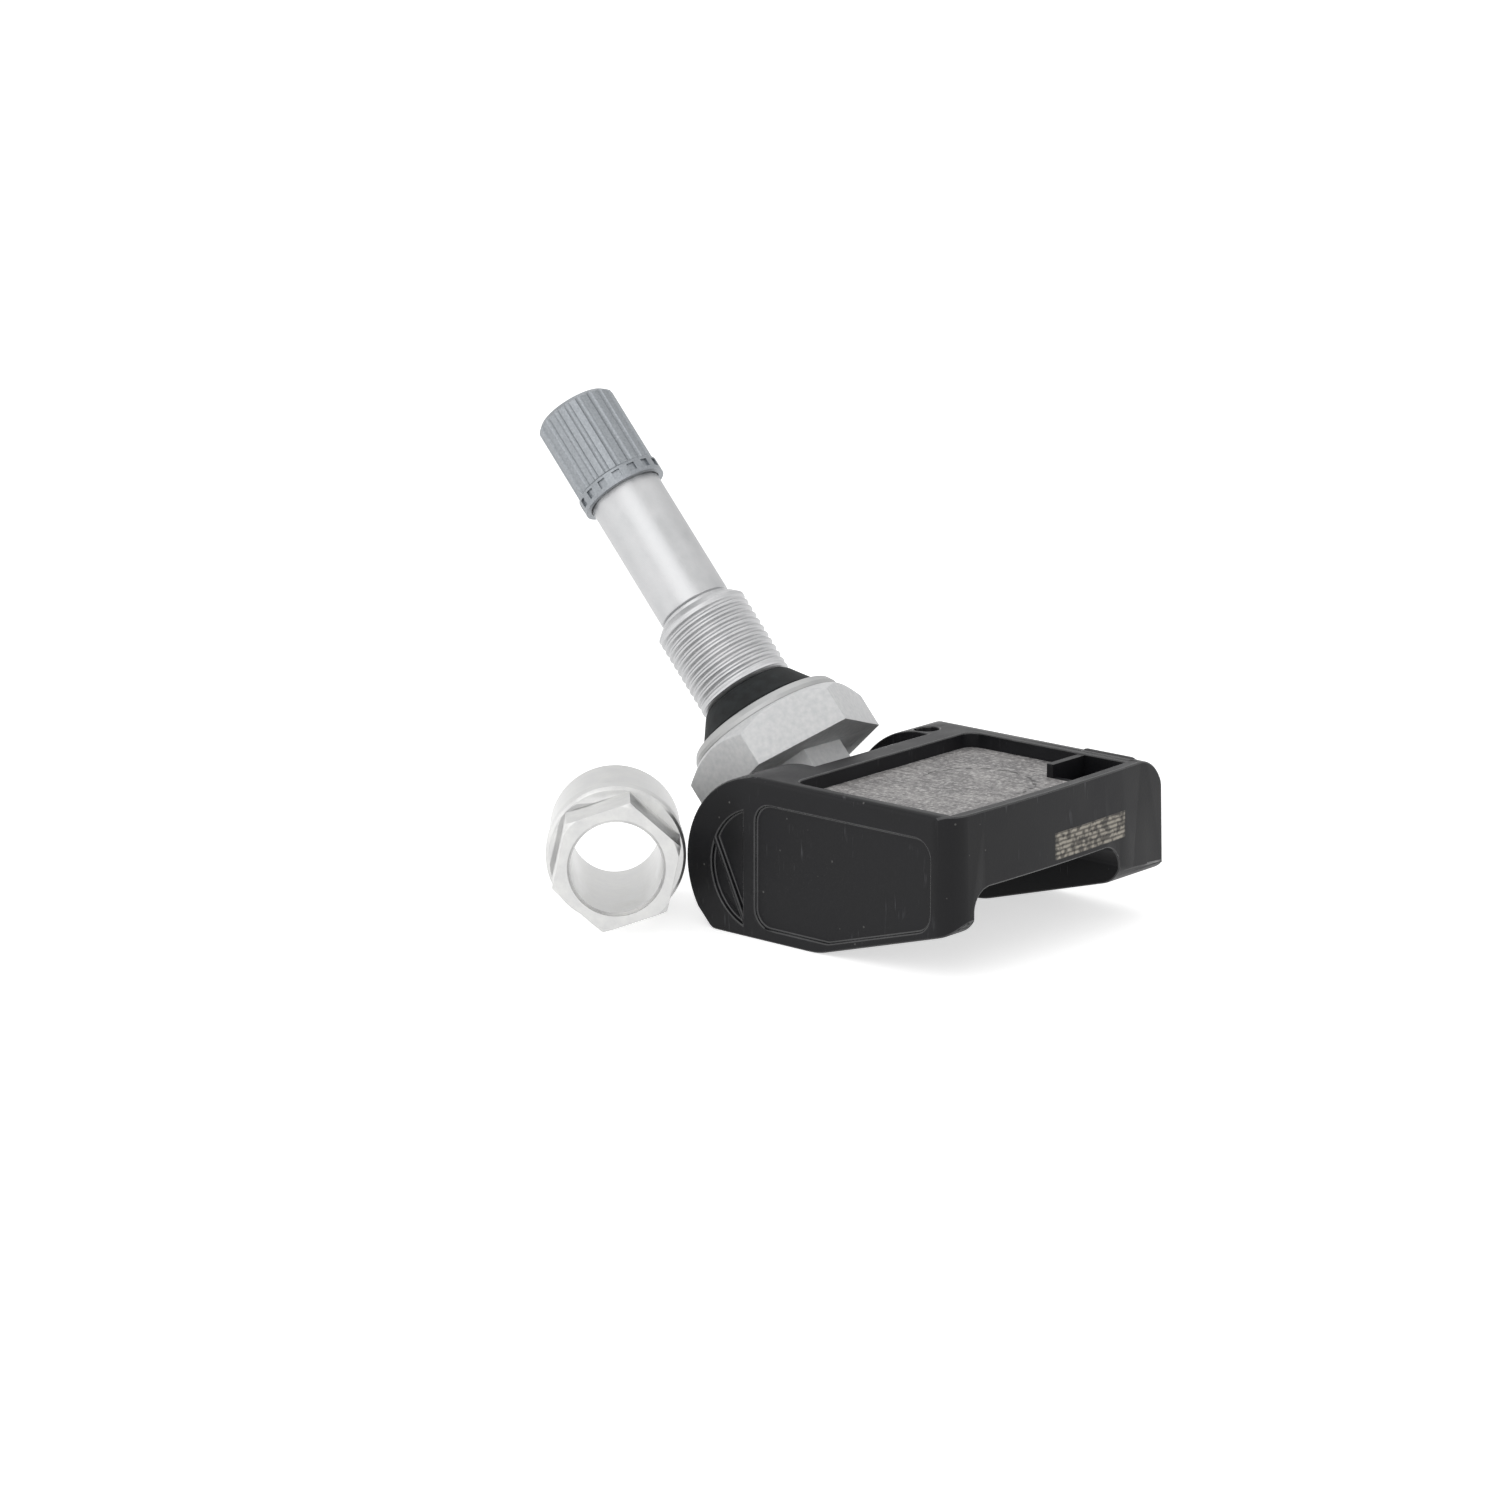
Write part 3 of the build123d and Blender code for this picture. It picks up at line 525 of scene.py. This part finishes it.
# %% [markdown]
# ## Plated nut
# The nut is nickel plated and satin. Plating has no grain of its own, so a soft haze of about 2 mm in
# colour and gloss is all that it needs.

# %% Nut
nickel, tree, shader, place = start_finish("satin_nickel_plate", {"Metallic": 1.0, "Roughness": 0.34})
haze = add(
    tree,
    "ShaderNodeTexNoise",
    {"Scale": grain_scale(2.0), "Detail": 5.0, "Roughness": 0.65},
    {"Vector": place},
)
ramp = add(tree, "ShaderNodeValToRGB", links={"Fac": haze.outputs["Fac"]})
ramp.color_ramp.elements[0].position = 0.3
ramp.color_ramp.elements[0].color = tone("c0c0c0")
ramp.color_ramp.elements[1].position = 0.7
ramp.color_ramp.elements[1].color = tone("d2d2d0")
tree.links.new(ramp.outputs["Color"], shader.inputs["Base Color"])
dull = add(tree, "ShaderNodeMapRange", {1: 0.3, 2: 0.7, 3: 0.28, 4: 0.4}, {0: haze.outputs["Fac"]})
tree.links.new(dull.outputs["Result"], shader.inputs["Roughness"])
print("finish", nickel.name)

# %% [markdown]
# ## Silver cap
# The cap is moulded and then lacquered silver, so it is a metallic paint under a thin clear coat. Its
# flakes, drawn 0.2 mm wide so that they show, vary the shade and roughen the light a little.

# %% Cap
lacquer, tree, shader, place = start_finish(
    "silver_lacquered_nylon",
    {"Metallic": 0.9, "Roughness": 0.44, "Coat Weight": 0.12, "Coat Roughness": 0.3},
)
flake = add(tree, "ShaderNodeTexNoise", {"Scale": grain_scale(0.2), "Detail": 2.0}, {"Vector": place})
ramp = add(tree, "ShaderNodeValToRGB", links={"Fac": flake.outputs["Fac"]})
ramp.color_ramp.elements[0].position = 0.3
ramp.color_ramp.elements[0].color = tone("868a8e")
ramp.color_ramp.elements[1].position = 0.75
ramp.color_ramp.elements[1].color = tone("9ca0a4")
tree.links.new(ramp.outputs["Color"], shader.inputs["Base Color"])
relief = add(
    tree,
    "ShaderNodeBump",
    {"Strength": 0.12, "Distance": 0.03 / 1000},
    {"Height": flake.outputs["Fac"]},
)
tree.links.new(relief.outputs["Normal"], shader.inputs["Normal"])
print("finish", lacquer.name)

# %% [markdown]
# ## Black rubber
# The grommet and the seals are matt black rubber. A bloom of dust, about 1 mm a patch, greys it
# unevenly, and the same noise gives the moulded skin a slight relief.

# %% Rubber
rubber, tree, shader, place = start_finish(
    "moulded_black_rubber", {"Roughness": 0.75, "IOR": 1.5, "Specular IOR Level": 0.3}
)
bloom = add(tree, "ShaderNodeTexNoise", {"Scale": grain_scale(1.2), "Detail": 4.0}, {"Vector": place})
ramp = add(tree, "ShaderNodeValToRGB", links={"Fac": bloom.outputs["Fac"]})
ramp.color_ramp.elements[0].position = 0.35
ramp.color_ramp.elements[0].color = tone("0f1112")
ramp.color_ramp.elements[1].position = 0.75
ramp.color_ramp.elements[1].color = tone("202425")
tree.links.new(ramp.outputs["Color"], shader.inputs["Base Color"])
relief = add(
    tree,
    "ShaderNodeBump",
    {"Strength": 0.3, "Distance": 0.05 / 1000},
    {"Height": bloom.outputs["Fac"]},
)
tree.links.new(relief.outputs["Normal"], shader.inputs["Normal"])
print("finish", rubber.name)

# %% [markdown]
# ## Plain finishes
# The board, the cell and the valve core are hidden by the resin and the stem, but they show in a
# cutaway. Each gets a plain finish of its own kind: two shades of the real material, mixed by a noise
# of a real grain size in millimetres. The two hexagons of the valve foot look bead blasted, an even and
# dull grain without tool marks, so they get a finish of the same make.

# %% Inner finishes and blasted hexagons


def plain_finish(name, dark, light, grain_size, settings):
    """A finish with two shades mixed by a noise of the given grain, and a slight relief."""
    made, tree, shader, place = start_finish(name, settings)
    grains = add(
        tree,
        "ShaderNodeTexNoise",
        {"Scale": grain_scale(grain_size), "Detail": 4.0},
        {"Vector": place},
    )
    ramp = add(tree, "ShaderNodeValToRGB", links={"Fac": grains.outputs["Fac"]})
    ramp.color_ramp.elements[0].position = 0.3
    ramp.color_ramp.elements[0].color = tone(dark)
    ramp.color_ramp.elements[1].position = 0.7
    ramp.color_ramp.elements[1].color = tone(light)
    tree.links.new(ramp.outputs["Color"], shader.inputs["Base Color"])
    relief = add(
        tree,
        "ShaderNodeBump",
        {"Strength": 0.15, "Distance": 0.03 / 1000},
        {"Height": grains.outputs["Fac"]},
    )
    tree.links.new(relief.outputs["Normal"], shader.inputs["Normal"])
    print("finish", made.name)
    return made


laminate = plain_finish("glass_fibre_laminate", "1f5a33", "2c7443", 0.8, {"Roughness": 0.4, "IOR": 1.55})
sheet_steel = plain_finish("drawn_steel", "a5a5a2", "bdbdba", 1.0, {"Metallic": 1.0, "Roughness": 0.3})
brass = plain_finish("turned_brass", "b08d45", "c9a75a", 1.0, {"Metallic": 1.0, "Roughness": 0.28})
copper = plain_finish("drawn_copper", "b4683f", "cc7c50", 0.8, {"Metallic": 1.0, "Roughness": 0.3})
chip_black = plain_finish("moulded_epoxy_black", "1a1a1b", "262627", 0.4, {"Roughness": 0.55, "IOR": 1.55})
ferrite = plain_finish("sintered_ferrite", "2b2a29", "3a3938", 0.4, {"Roughness": 0.6, "IOR": 1.6})
ceramic = plain_finish("fired_ceramic", "7d6650", "957c63", 0.4, {"Roughness": 0.5, "IOR": 1.6})
zinc = plain_finish("zinc_plated_steel", "9a9c9f", "b3b5b8", 1.5, {"Metallic": 1.0, "Roughness": 0.35})
blasted = plain_finish("blasted_aluminium", "bebfc0", "cacaca", 0.5, {"Metallic": 1.0, "Roughness": 0.7})

# %% [markdown]
# ## Finishes on the solids
# Each solid takes the finish of its real material. A table by name keeps this in one place, and a name
# that is missing from it stops the script.

# %% The solids dressed
FINISHES = {
    "housing": nylon,
    "port_frame": nylon,
    "potting_fill": resin,
    "circuit_board": laminate,
    "coin_cell": sheet_steel,
    "cell_tab_bottom": sheet_steel,
    "cell_tab_top": sheet_steel,
    "sensor_chip": chip_black,
    "port_seal": rubber,
    "wake_up_coil": ferrite,
    "crystal": sheet_steel,
    "aerial_loop": copper,
    "chip_capacitors": ceramic,
    "valve_stem": stem_metal,
    "seat_washer": washer_metal,
    "grommet": rubber,
    "fixing_screw": zinc,
    "core_body": brass,
    "core_seal": rubber,
    "core_pin": brass,
    "pin_seal": rubber,
    "core_spring": sheet_steel,
    "valve_cap": lacquer,
    "cap_gasket": rubber,
    "collar_nut": nickel,
}
for name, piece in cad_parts.items():
    piece.data.materials.clear()
    piece.data.materials.append(FINISHES[name])
print("finished nodes", len(FINISHES))

# %% [markdown]
# ## Threads
# The solid has plain cylinders where the real stem has a rim thread and a tip thread. A thread is a
# rule: at each angle the flank sits one pitch further along for each turn. So one Geometry Nodes tree
# bends a grid round the axis and lets a triangle wave, eased at crest and root, cut into it. The cut
# runs out over one pitch at both ends, where the thread meets the plain stem. The tree runs twice with
# other sizes.

# %% The thread tree
CREST_END = 0.06
ROOT_START = 0.44


def thread_tree():
    """Grid to thread: X of the grid runs round the axis, Y runs along it."""
    tree = bpy.data.node_groups.new("rolled_thread", "GeometryNodeTree")
    for label in ("Radius", "Depth", "Pitch", "Length"):
        tree.interface.new_socket(label, in_out="INPUT", socket_type="NodeSocketFloat")
    for label in ("Around", "Along"):
        tree.interface.new_socket(label, in_out="INPUT", socket_type="NodeSocketInt")
    tree.interface.new_socket("Finish", in_out="INPUT", socket_type="NodeSocketMaterial")
    tree.interface.new_socket("Mesh", in_out="OUTPUT", socket_type="NodeSocketGeometry")
    given = add(tree, "NodeGroupInput").outputs
    grid = add(
        tree,
        "GeometryNodeMeshGrid",
        {"Size X": 1.0, "Size Y": 1.0},
        {"Vertices X": given["Around"], "Vertices Y": given["Along"]},
    )
    place = add(tree, "GeometryNodeInputPosition").outputs[0]
    split = add(tree, "ShaderNodeSeparateXYZ", links={0: place}).outputs
    turn = add(tree, "ShaderNodeMath", {"operation": "ADD", 1: 0.5}, {0: split["X"]}).outputs[0]
    share = add(tree, "ShaderNodeMath", {"operation": "ADD", 1: 0.5}, {0: split["Y"]}).outputs[0]
    height = add(tree, "ShaderNodeMath", {"operation": "MULTIPLY"}, {0: share, 1: given["Length"]}).outputs[0]
    steps = add(tree, "ShaderNodeMath", {"operation": "DIVIDE"}, {0: height, 1: given["Pitch"]}).outputs[0]
    lag = add(tree, "ShaderNodeMath", {"operation": "SUBTRACT"}, {0: steps, 1: turn}).outputs[0]
    flank = add(tree, "ShaderNodeMath", {"operation": "PINGPONG", 1: 0.5}, {0: lag}).outputs[0]
    groove = add(
        tree,
        "ShaderNodeMapRange",
        {"interpolation_type": "SMOOTHSTEP", 1: CREST_END, 2: ROOT_START, 3: 0.0, 4: 1.0},
        {0: flank},
    ).outputs[0]
    left = add(tree, "ShaderNodeMath", {"operation": "SUBTRACT"}, {0: given["Length"], 1: height}).outputs[0]
    nearest = add(tree, "ShaderNodeMath", {"operation": "MINIMUM"}, {0: height, 1: left}).outputs[0]
    run_out = add(tree, "ShaderNodeMapRange", {1: 0.0}, {0: nearest, 2: given["Pitch"]}).outputs[0]
    cut = add(tree, "ShaderNodeMath", {"operation": "MULTIPLY"}, {0: groove, 1: run_out}).outputs[0]
    deep = add(tree, "ShaderNodeMath", {"operation": "MULTIPLY"}, {0: cut, 1: given["Depth"]}).outputs[0]
    radius = add(tree, "ShaderNodeMath", {"operation": "SUBTRACT"}, {0: given["Radius"], 1: deep}).outputs[0]
    angle = add(tree, "ShaderNodeMath", {"operation": "MULTIPLY", 1: math.tau}, {0: turn}).outputs[0]
    cosine = add(tree, "ShaderNodeMath", {"operation": "COSINE"}, {0: angle}).outputs[0]
    sine = add(tree, "ShaderNodeMath", {"operation": "SINE"}, {0: angle}).outputs[0]
    x = add(tree, "ShaderNodeMath", {"operation": "MULTIPLY"}, {0: radius, 1: cosine}).outputs[0]
    y = add(tree, "ShaderNodeMath", {"operation": "MULTIPLY"}, {0: radius, 1: sine}).outputs[0]
    bent = add(tree, "ShaderNodeCombineXYZ", links={"X": x, "Y": y, "Z": height})
    moved = add(
        tree,
        "GeometryNodeSetPosition",
        links={"Geometry": grid.outputs["Mesh"], "Position": bent.outputs[0]},
    )
    closed = add(
        tree,
        "GeometryNodeMergeByDistance",
        {"Distance": 1e-6},
        {"Geometry": moved.outputs["Geometry"]},
    )
    smooth = add(tree, "GeometryNodeSetShadeSmooth", links={"Geometry": closed.outputs["Geometry"]})
    real = add(tree, "GeometryNodeRealizeInstances", links={"Geometry": smooth.outputs["Geometry"]})
    dressed = add(
        tree,
        "GeometryNodeSetMaterial",
        links={"Geometry": real.outputs["Geometry"], "Material": given["Finish"]},
    )
    add(tree, "NodeGroupOutput", links={"Mesh": dressed.outputs["Geometry"]})
    return tree


THREAD = thread_tree()
print("thread tree", len(THREAD.nodes), "nodes")

# %% [markdown]
# ## Running a tree
# A tree needs an object to run on. An empty carrier takes it as a modifier, its inputs are set by their
# identifiers before the first evaluation, and the evaluated result is kept as a plain mesh. The carrier
# then goes away.

# %% The tree runner


def grown(name, tree, inputs):
    """Runs a Geometry Nodes tree with its inputs set and returns its result as a plain mesh object."""
    carrier = bpy.data.objects.new(name + "_carrier", bpy.data.meshes.new(name + "_carrier"))
    bpy.context.scene.collection.objects.link(carrier)
    step = carrier.modifiers.new(name, "NODES")
    step.node_group = tree
    sockets = {item.name: item.identifier for item in tree.interface.items_tree if item.in_out == "INPUT"}
    for label, value in inputs.items():
        step[sockets[label]] = value
    bpy.context.view_layer.update()
    seen = carrier.evaluated_get(bpy.context.evaluated_depsgraph_get())
    made = bpy.data.objects.new(name, bpy.data.meshes.new_from_object(seen))
    bpy.data.objects.remove(carrier)
    bpy.context.scene.collection.objects.link(made)
    return made


print("tree runner ready")

# %% [markdown]
# ## Rim thread and tip thread
# The rim thread takes the nut, the tip thread takes the cap. The band of each is given as start, end,
# radius, depth and pitch in millimetres along the valve axis. Sixteen rows to a pitch keep the eased
# flanks round.

# %% The two threads
BANDS = {"rim_thread": (0.4, 9.7, 5.2, 0.3, 0.84), "tip_thread": (27.2, 34.0, 3.85, 0.32, 0.794)}
FACES_AROUND = 96
ROWS_PER_PITCH = 16
for name, (start, end, radius, depth, pitch) in BANDS.items():
    thread = grown(
        name,
        THREAD,
        {
            "Radius": radius / 1000,
            "Depth": depth / 1000,
            "Pitch": pitch / 1000,
            "Length": (end - start) / 1000,
            "Around": FACES_AROUND + 1,
            "Along": int((end - start) / pitch * ROWS_PER_PITCH) + 1,
            "Finish": stem_metal,
        },
    )
    thread.data.transform(VALVE @ Matrix.Translation((0, 0, start / 1000)))
    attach(thread, "sensor")
    print(name, len(thread.data.polygons), "faces")

# %% [markdown]
# ## Return spring
# A coil of round wire lifts the pin. A spiral curve with a circle swept along it is the whole shape, so
# a second small tree makes it. Reversed, the spiral winds to the right like the solid's own coil.

# %% The coil tree
POINTS_PER_TURN = 24
POINTS_ROUND_WIRE = 10


def coil_tree():
    """Spiral to round wire."""
    tree = bpy.data.node_groups.new("wire_coil", "GeometryNodeTree")
    for label in ("Coil Radius", "Wire Radius", "Height", "Turns"):
        tree.interface.new_socket(label, in_out="INPUT", socket_type="NodeSocketFloat")
    tree.interface.new_socket("Finish", in_out="INPUT", socket_type="NodeSocketMaterial")
    tree.interface.new_socket("Mesh", in_out="OUTPUT", socket_type="NodeSocketGeometry")
    given = add(tree, "NodeGroupInput").outputs
    spiral = add(
        tree,
        "GeometryNodeCurveSpiral",
        {"Resolution": POINTS_PER_TURN, "Reverse": True},
        {
            "Rotations": given["Turns"],
            "Start Radius": given["Coil Radius"],
            "End Radius": given["Coil Radius"],
            "Height": given["Height"],
        },
    )
    round_wire = add(
        tree,
        "GeometryNodeCurvePrimitiveCircle",
        {"Resolution": POINTS_ROUND_WIRE},
        {"Radius": given["Wire Radius"]},
    )
    wire = add(
        tree,
        "GeometryNodeCurveToMesh",
        {"Fill Caps": True},
        {"Curve": spiral.outputs["Curve"], "Profile Curve": round_wire.outputs["Curve"]},
    )
    smooth = add(tree, "GeometryNodeSetShadeSmooth", links={"Geometry": wire.outputs["Mesh"]})
    real = add(tree, "GeometryNodeRealizeInstances", links={"Geometry": smooth.outputs["Geometry"]})
    dressed = add(
        tree,
        "GeometryNodeSetMaterial",
        links={"Geometry": real.outputs["Geometry"], "Material": given["Finish"]},
    )
    add(tree, "NodeGroupOutput", links={"Mesh": dressed.outputs["Geometry"]})
    return tree


COIL = coil_tree()
print("coil tree", len(COIL.nodes), "nodes")

# %% [markdown]
# ## The coil in its place
# The real coil shortens when the pin goes down: it keeps its lower end on the seat, and its height
# shrinks by the stroke of the pin. Here it is made at rest height, and the solid's own coil is hidden.

# %% The coil
SEAT_T = 24.0
SPRING_LENGTH = 7.2
SPRING_TURNS = 6.0
COIL_RADIUS = 0.925
WIRE_RADIUS = 0.13
coil = grown(
    "spring_coil",
    COIL,
    {
        "Coil Radius": COIL_RADIUS / 1000,
        "Wire Radius": WIRE_RADIUS / 1000,
        "Height": (SPRING_LENGTH - 2 * WIRE_RADIUS) / 1000,
        "Turns": SPRING_TURNS,
        "Finish": sheet_steel,
    },
)
coil.data.transform(VALVE @ Matrix.Translation((0, 0, (SEAT_T + WIRE_RADIUS) / 1000)))
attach(coil, "sensor")
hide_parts("core_spring")
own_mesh(coil)
print("spring coil", len(coil.data.polygons), "faces")

# %% [markdown]
# ## Skins with softened edges
# No real edge is a perfect corner: a moulding tool leaves about two tenths of radius, and a turned or
# milled edge is broken by about a tenth. A Bevel modifier rounds just the sharp edges and leaves the
# walls where they are. It needs a joined mesh, so each skin is a copy of its solid with its doubled
# points merged. On the housing the flat triangles are dissolved as well. A ring can't be one polygon,
# so on round pieces the triangles are only paired to quads. The modifier's clamp shrinks every edge to
# the room at the tightest one, so the housing goes without it, and its radius is under half the depth
# of its shallow side panel.

# %% The skin helper
MERGE_DISTANCE = 2e-6
FLAT_ANGLE = math.radians(0.5)
SHADING_ANGLE = math.radians(24)
EDGE_ANGLE = math.radians(32)
EDGE_SEGMENTS = 3


def skin(name, node, radius, finishes, round_piece=True):
    """A merged copy of a node with rounded edges, which stands for that node."""
    made = bpy.data.objects.new(name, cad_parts[node].data.copy())
    bpy.context.scene.collection.objects.link(made)
    shape = bmesh.new()
    shape.from_mesh(made.data)
    bmesh.ops.remove_doubles(shape, verts=shape.verts, dist=MERGE_DISTANCE)
    if round_piece:
        bmesh.ops.join_triangles(
            shape, faces=shape.faces, angle_face_threshold=0.01, angle_shape_threshold=3.0
        )
    else:
        bmesh.ops.dissolve_limit(shape, angle_limit=FLAT_ANGLE, verts=shape.verts, edges=shape.edges)
    for face in shape.faces:
        face.smooth = True
    shape.to_mesh(made.data)
    shape.free()
    made.data.set_sharp_from_angle(angle=SHADING_ANGLE)
    made.data.materials.clear()
    for finish in finishes:
        made.data.materials.append(finish)
    edges = made.modifiers.new("broken_edges", "BEVEL")
    edges.width = radius / 1000
    edges.segments = EDGE_SEGMENTS
    edges.limit_method = "ANGLE"
    edges.angle_limit = EDGE_ANGLE
    edges.harden_normals = True
    edges.use_clamp_overlap = round_piece
    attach(made, "sensor")
    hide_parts(node)
    print(name, len(made.data.polygons), "faces, edges", radius, "mm")
    return made


print("skin helper ready")

# %% [markdown]
# ## Housing, nut, washer and stem
# The four rigid pieces that show their edges get a skin. The second finish of the housing is the nylon
# with a painted highlight, which its modifier puts on the rounded edges. The second finish of the stem
# is for its hexagons, in the next cell.

# %% The skins
MOULDED_EDGE = 0.17
METAL_EDGE = 0.12
SECOND_FINISH = 1
housing_skin = skin(
    "housing_skin", "housing", MOULDED_EDGE, [nylon, nylon_edge_highlight], round_piece=False
)
# The second finish, whose paler shade is a painted edge highlight, goes on the rounded edges.
housing_skin.modifiers["broken_edges"].material = SECOND_FINISH
nut_skin = skin("nut_skin", "collar_nut", METAL_EDGE, [nickel])
skin("washer_skin", "seat_washer", METAL_EDGE, [washer_metal])
stem_skin = skin("stem_skin", "valve_stem", METAL_EDGE, [stem_metal, blasted])

# %% [markdown]
# ## Hexagons and thread bands of the stem
# The flange and the foot below it are the blasted hexagons, so every face below a line just above the
# flange takes the second finish. The plain bands that the two threads replace are taken out: a face
# belongs to a band when its middle lies between the band's ends and close to its radius.

# %% The stem's faces
ABOVE_FLANGE = -4.4
BAND_REACH = 0.15
shape = bmesh.new()
shape.from_mesh(stem_skin.data)
plain = []
for face in shape.faces:
    middle = TO_VALVE @ face.calc_center_median()
    around = math.hypot(middle.x, middle.y)
    if middle.z < ABOVE_FLANGE / 1000:
        face.material_index = SECOND_FINISH
    for start, end, radius, depth, pitch in BANDS.values():
        if start / 1000 < middle.z < end / 1000 and around > (radius - BAND_REACH) / 1000:
            plain.append(face)
bmesh.ops.delete(shape, geom=plain, context="FACES")
shape.to_mesh(stem_skin.data)
shape.free()
print("plain thread faces taken out of the stem", len(plain))

# %% [markdown]
# ## The nut's mouth
# The solid has a generous lead-in cone at the mouth of the nut, so that the thread finds its way. On
# the real nut the lip is only a narrow bright line. The skin is a copy, so its two edge rings can be
# drawn together: each point is taken into the nut's own frame, picked by radius and depth in
# millimetres, moved, and put back.

# %% Nut mouth
NUT_HEADING = math.radians(43.0)
NUT_TIP = math.radians(1.97)
NUT_FACE = spot(4.9, -26.4, 7.517)
CONE_RADIUS = 5.35
LIP_RADIUS = 5.03
BORE_RADIUS = 4.75
CONE_DEPTH = 0.9
LIP_DEPTH = 0.36
NEAR = 0.04
nut_out = Vector(
    (
        math.sin(NUT_HEADING) * math.cos(NUT_TIP),
        -math.cos(NUT_HEADING) * math.cos(NUT_TIP),
        math.sin(NUT_TIP),
    )
)
nut_place = Matrix.Translation(NUT_FACE) @ nut_out.to_track_quat("Z", "Y").to_matrix().to_4x4()
moved = 0
for point in nut_skin.data.vertices:
    local = nut_place.inverted() @ point.co
    around = math.hypot(local.x, local.y) * 1000
    depth = -local.z * 1000
    if abs(around - CONE_RADIUS) < NEAR and abs(depth) < NEAR:
        narrower = LIP_RADIUS / around
        point.co = nut_place @ Vector((local.x * narrower, local.y * narrower, local.z))
        moved += 1
    if abs(around - BORE_RADIUS) < NEAR and abs(depth - CONE_DEPTH) < NEAR:
        point.co = nut_place @ Vector((local.x, local.y, -LIP_DEPTH / 1000))
        moved += 1
print("mouth points moved", moved)

# %% [markdown]
# ## Floor
# The ground is white and shows a soft shadow. The floor is a pale sheet that glows a little for the
# camera and for reflections alone. Other rays see a mid grey, so that it throws less light up at the
# black housing.

# %% Floor
FLOOR_REACH = 3
FLOOR_GLOW = 0.61
corners = [(-1, -1), (1, -1), (1, 1), (-1, 1)]
floor_mesh = bpy.data.meshes.new("floor")
floor_mesh.from_pydata([(x * FLOOR_REACH, y * FLOOR_REACH, 0) for x, y in corners], [], [(0, 1, 2, 3)])
floor = bpy.data.objects.new("floor", floor_mesh)
bpy.context.scene.collection.objects.link(floor)
paper, tree, shader, place = start_finish(
    "white_paper_sweep", {"Roughness": 0.9, "Emission Color": (1, 1, 1, 1)}
)
path = add(tree, "ShaderNodeLightPath").outputs
seen = add(
    tree,
    "ShaderNodeMath",
    {"operation": "MAXIMUM"},
    {0: path["Is Camera Ray"], 1: path["Is Glossy Ray"]},
)
tint = add(
    tree,
    "ShaderNodeMix",
    {"data_type": "RGBA", 6: tone("808080"), 7: tone("f2f2f2")},
    {0: seen.outputs["Value"]},
)
tree.links.new(tint.outputs[2], shader.inputs["Base Color"])
lift = add(tree, "ShaderNodeMath", {"operation": "MULTIPLY", 1: FLOOR_GLOW}, {0: seen.outputs["Value"]})
tree.links.new(lift.outputs["Value"], shader.inputs["Emission Strength"])
floor.data.materials.append(paper)
print("floor", 2 * FLOOR_REACH, "m wide")

# %% [markdown]
# ## World
# The light comes softly from all sides. The world is full white to the camera, to reflections and to
# transmitted rays, and dimmer as a source of light, so that the soft boxes still shape the metal.

# %% World
WORLD_LIGHT = 0.45
world = bpy.data.worlds.new("white_studio")
bpy.context.scene.world = world
world.use_nodes = True
tree = world.node_tree
tree.nodes.clear()
path = add(tree, "ShaderNodeLightPath").outputs
seen = add(
    tree,
    "ShaderNodeMath",
    {"operation": "MAXIMUM"},
    {0: path["Is Camera Ray"], 1: path["Is Glossy Ray"]},
)
shown = add(
    tree,
    "ShaderNodeMath",
    {"operation": "MAXIMUM"},
    {0: seen.outputs["Value"], 1: path["Is Transmission Ray"]},
)
level = add(
    tree,
    "ShaderNodeMapRange",
    {1: 0.0, 2: 1.0, 3: WORLD_LIGHT, 4: 1.0},
    {0: shown.outputs["Value"]},
)
sky = add(tree, "ShaderNodeBackground", {"Color": (1, 1, 1, 1)}, {"Strength": level.outputs["Result"]})
add(tree, "ShaderNodeOutputWorld", links={"Surface": sky.outputs["Background"]})
print("world", world.name)

# %% [markdown]
# ## Soft boxes
# Four soft boxes give the metal its gradients: a key from the camera's side, one from each side, and
# one above and behind. Each is given by its place in metres, its width in metres and its power in
# watts, and looks at the part.

# %% Lamps
LAMP_AIM = Vector((0, 0, 0.015))
for name, where, size, power in (
    ("key_box", (0.20, -0.62, 0.52), 0.8, 2.0),
    ("side_box", (0.75, 0.00, 0.22), 0.6, 0.8),
    ("left_box", (-0.45, -0.45, 0.20), 0.6, 0.7),
    ("top_box", (-0.20, 0.20, 0.78), 0.9, 1.5),
):
    lamp = bpy.data.lights.new(name, "AREA")
    lamp.size = size
    lamp.energy = power
    box = bpy.data.objects.new(name, lamp)
    box.location = where
    box.rotation_euler = (LAMP_AIM - Vector(where)).to_track_quat("-Z", "Y").to_euler()
    bpy.context.scene.collection.objects.link(box)
    print(name, power, "W")

# %% [markdown]
# ## Camera
# The camera stands half a metre away, low over the near corner of the tail, with a long lens, as one
# would stand to photograph a small part on a table.

# %% Camera
BACK = Vector((0.6361, -0.7331, 0.2406))
STAND_OFF = 0.5
CAMERA_AIM = spot(0, 0, 14.21)
camera_data = bpy.data.cameras.new("camera")
camera_data.sensor_width = 36
camera_data.lens = 112.92
camera_data.clip_start = 0.01
camera = bpy.data.objects.new("camera", camera_data)
camera.location = CAMERA_AIM + BACK * STAND_OFF
camera.rotation_euler = (-BACK).to_track_quat("-Z", "Y").to_euler()
bpy.context.scene.collection.objects.link(camera)
bpy.context.scene.camera = camera
bpy.context.scene.view_settings.view_transform = "Standard"
print("camera at", [round(v, 3) for v in camera.location])
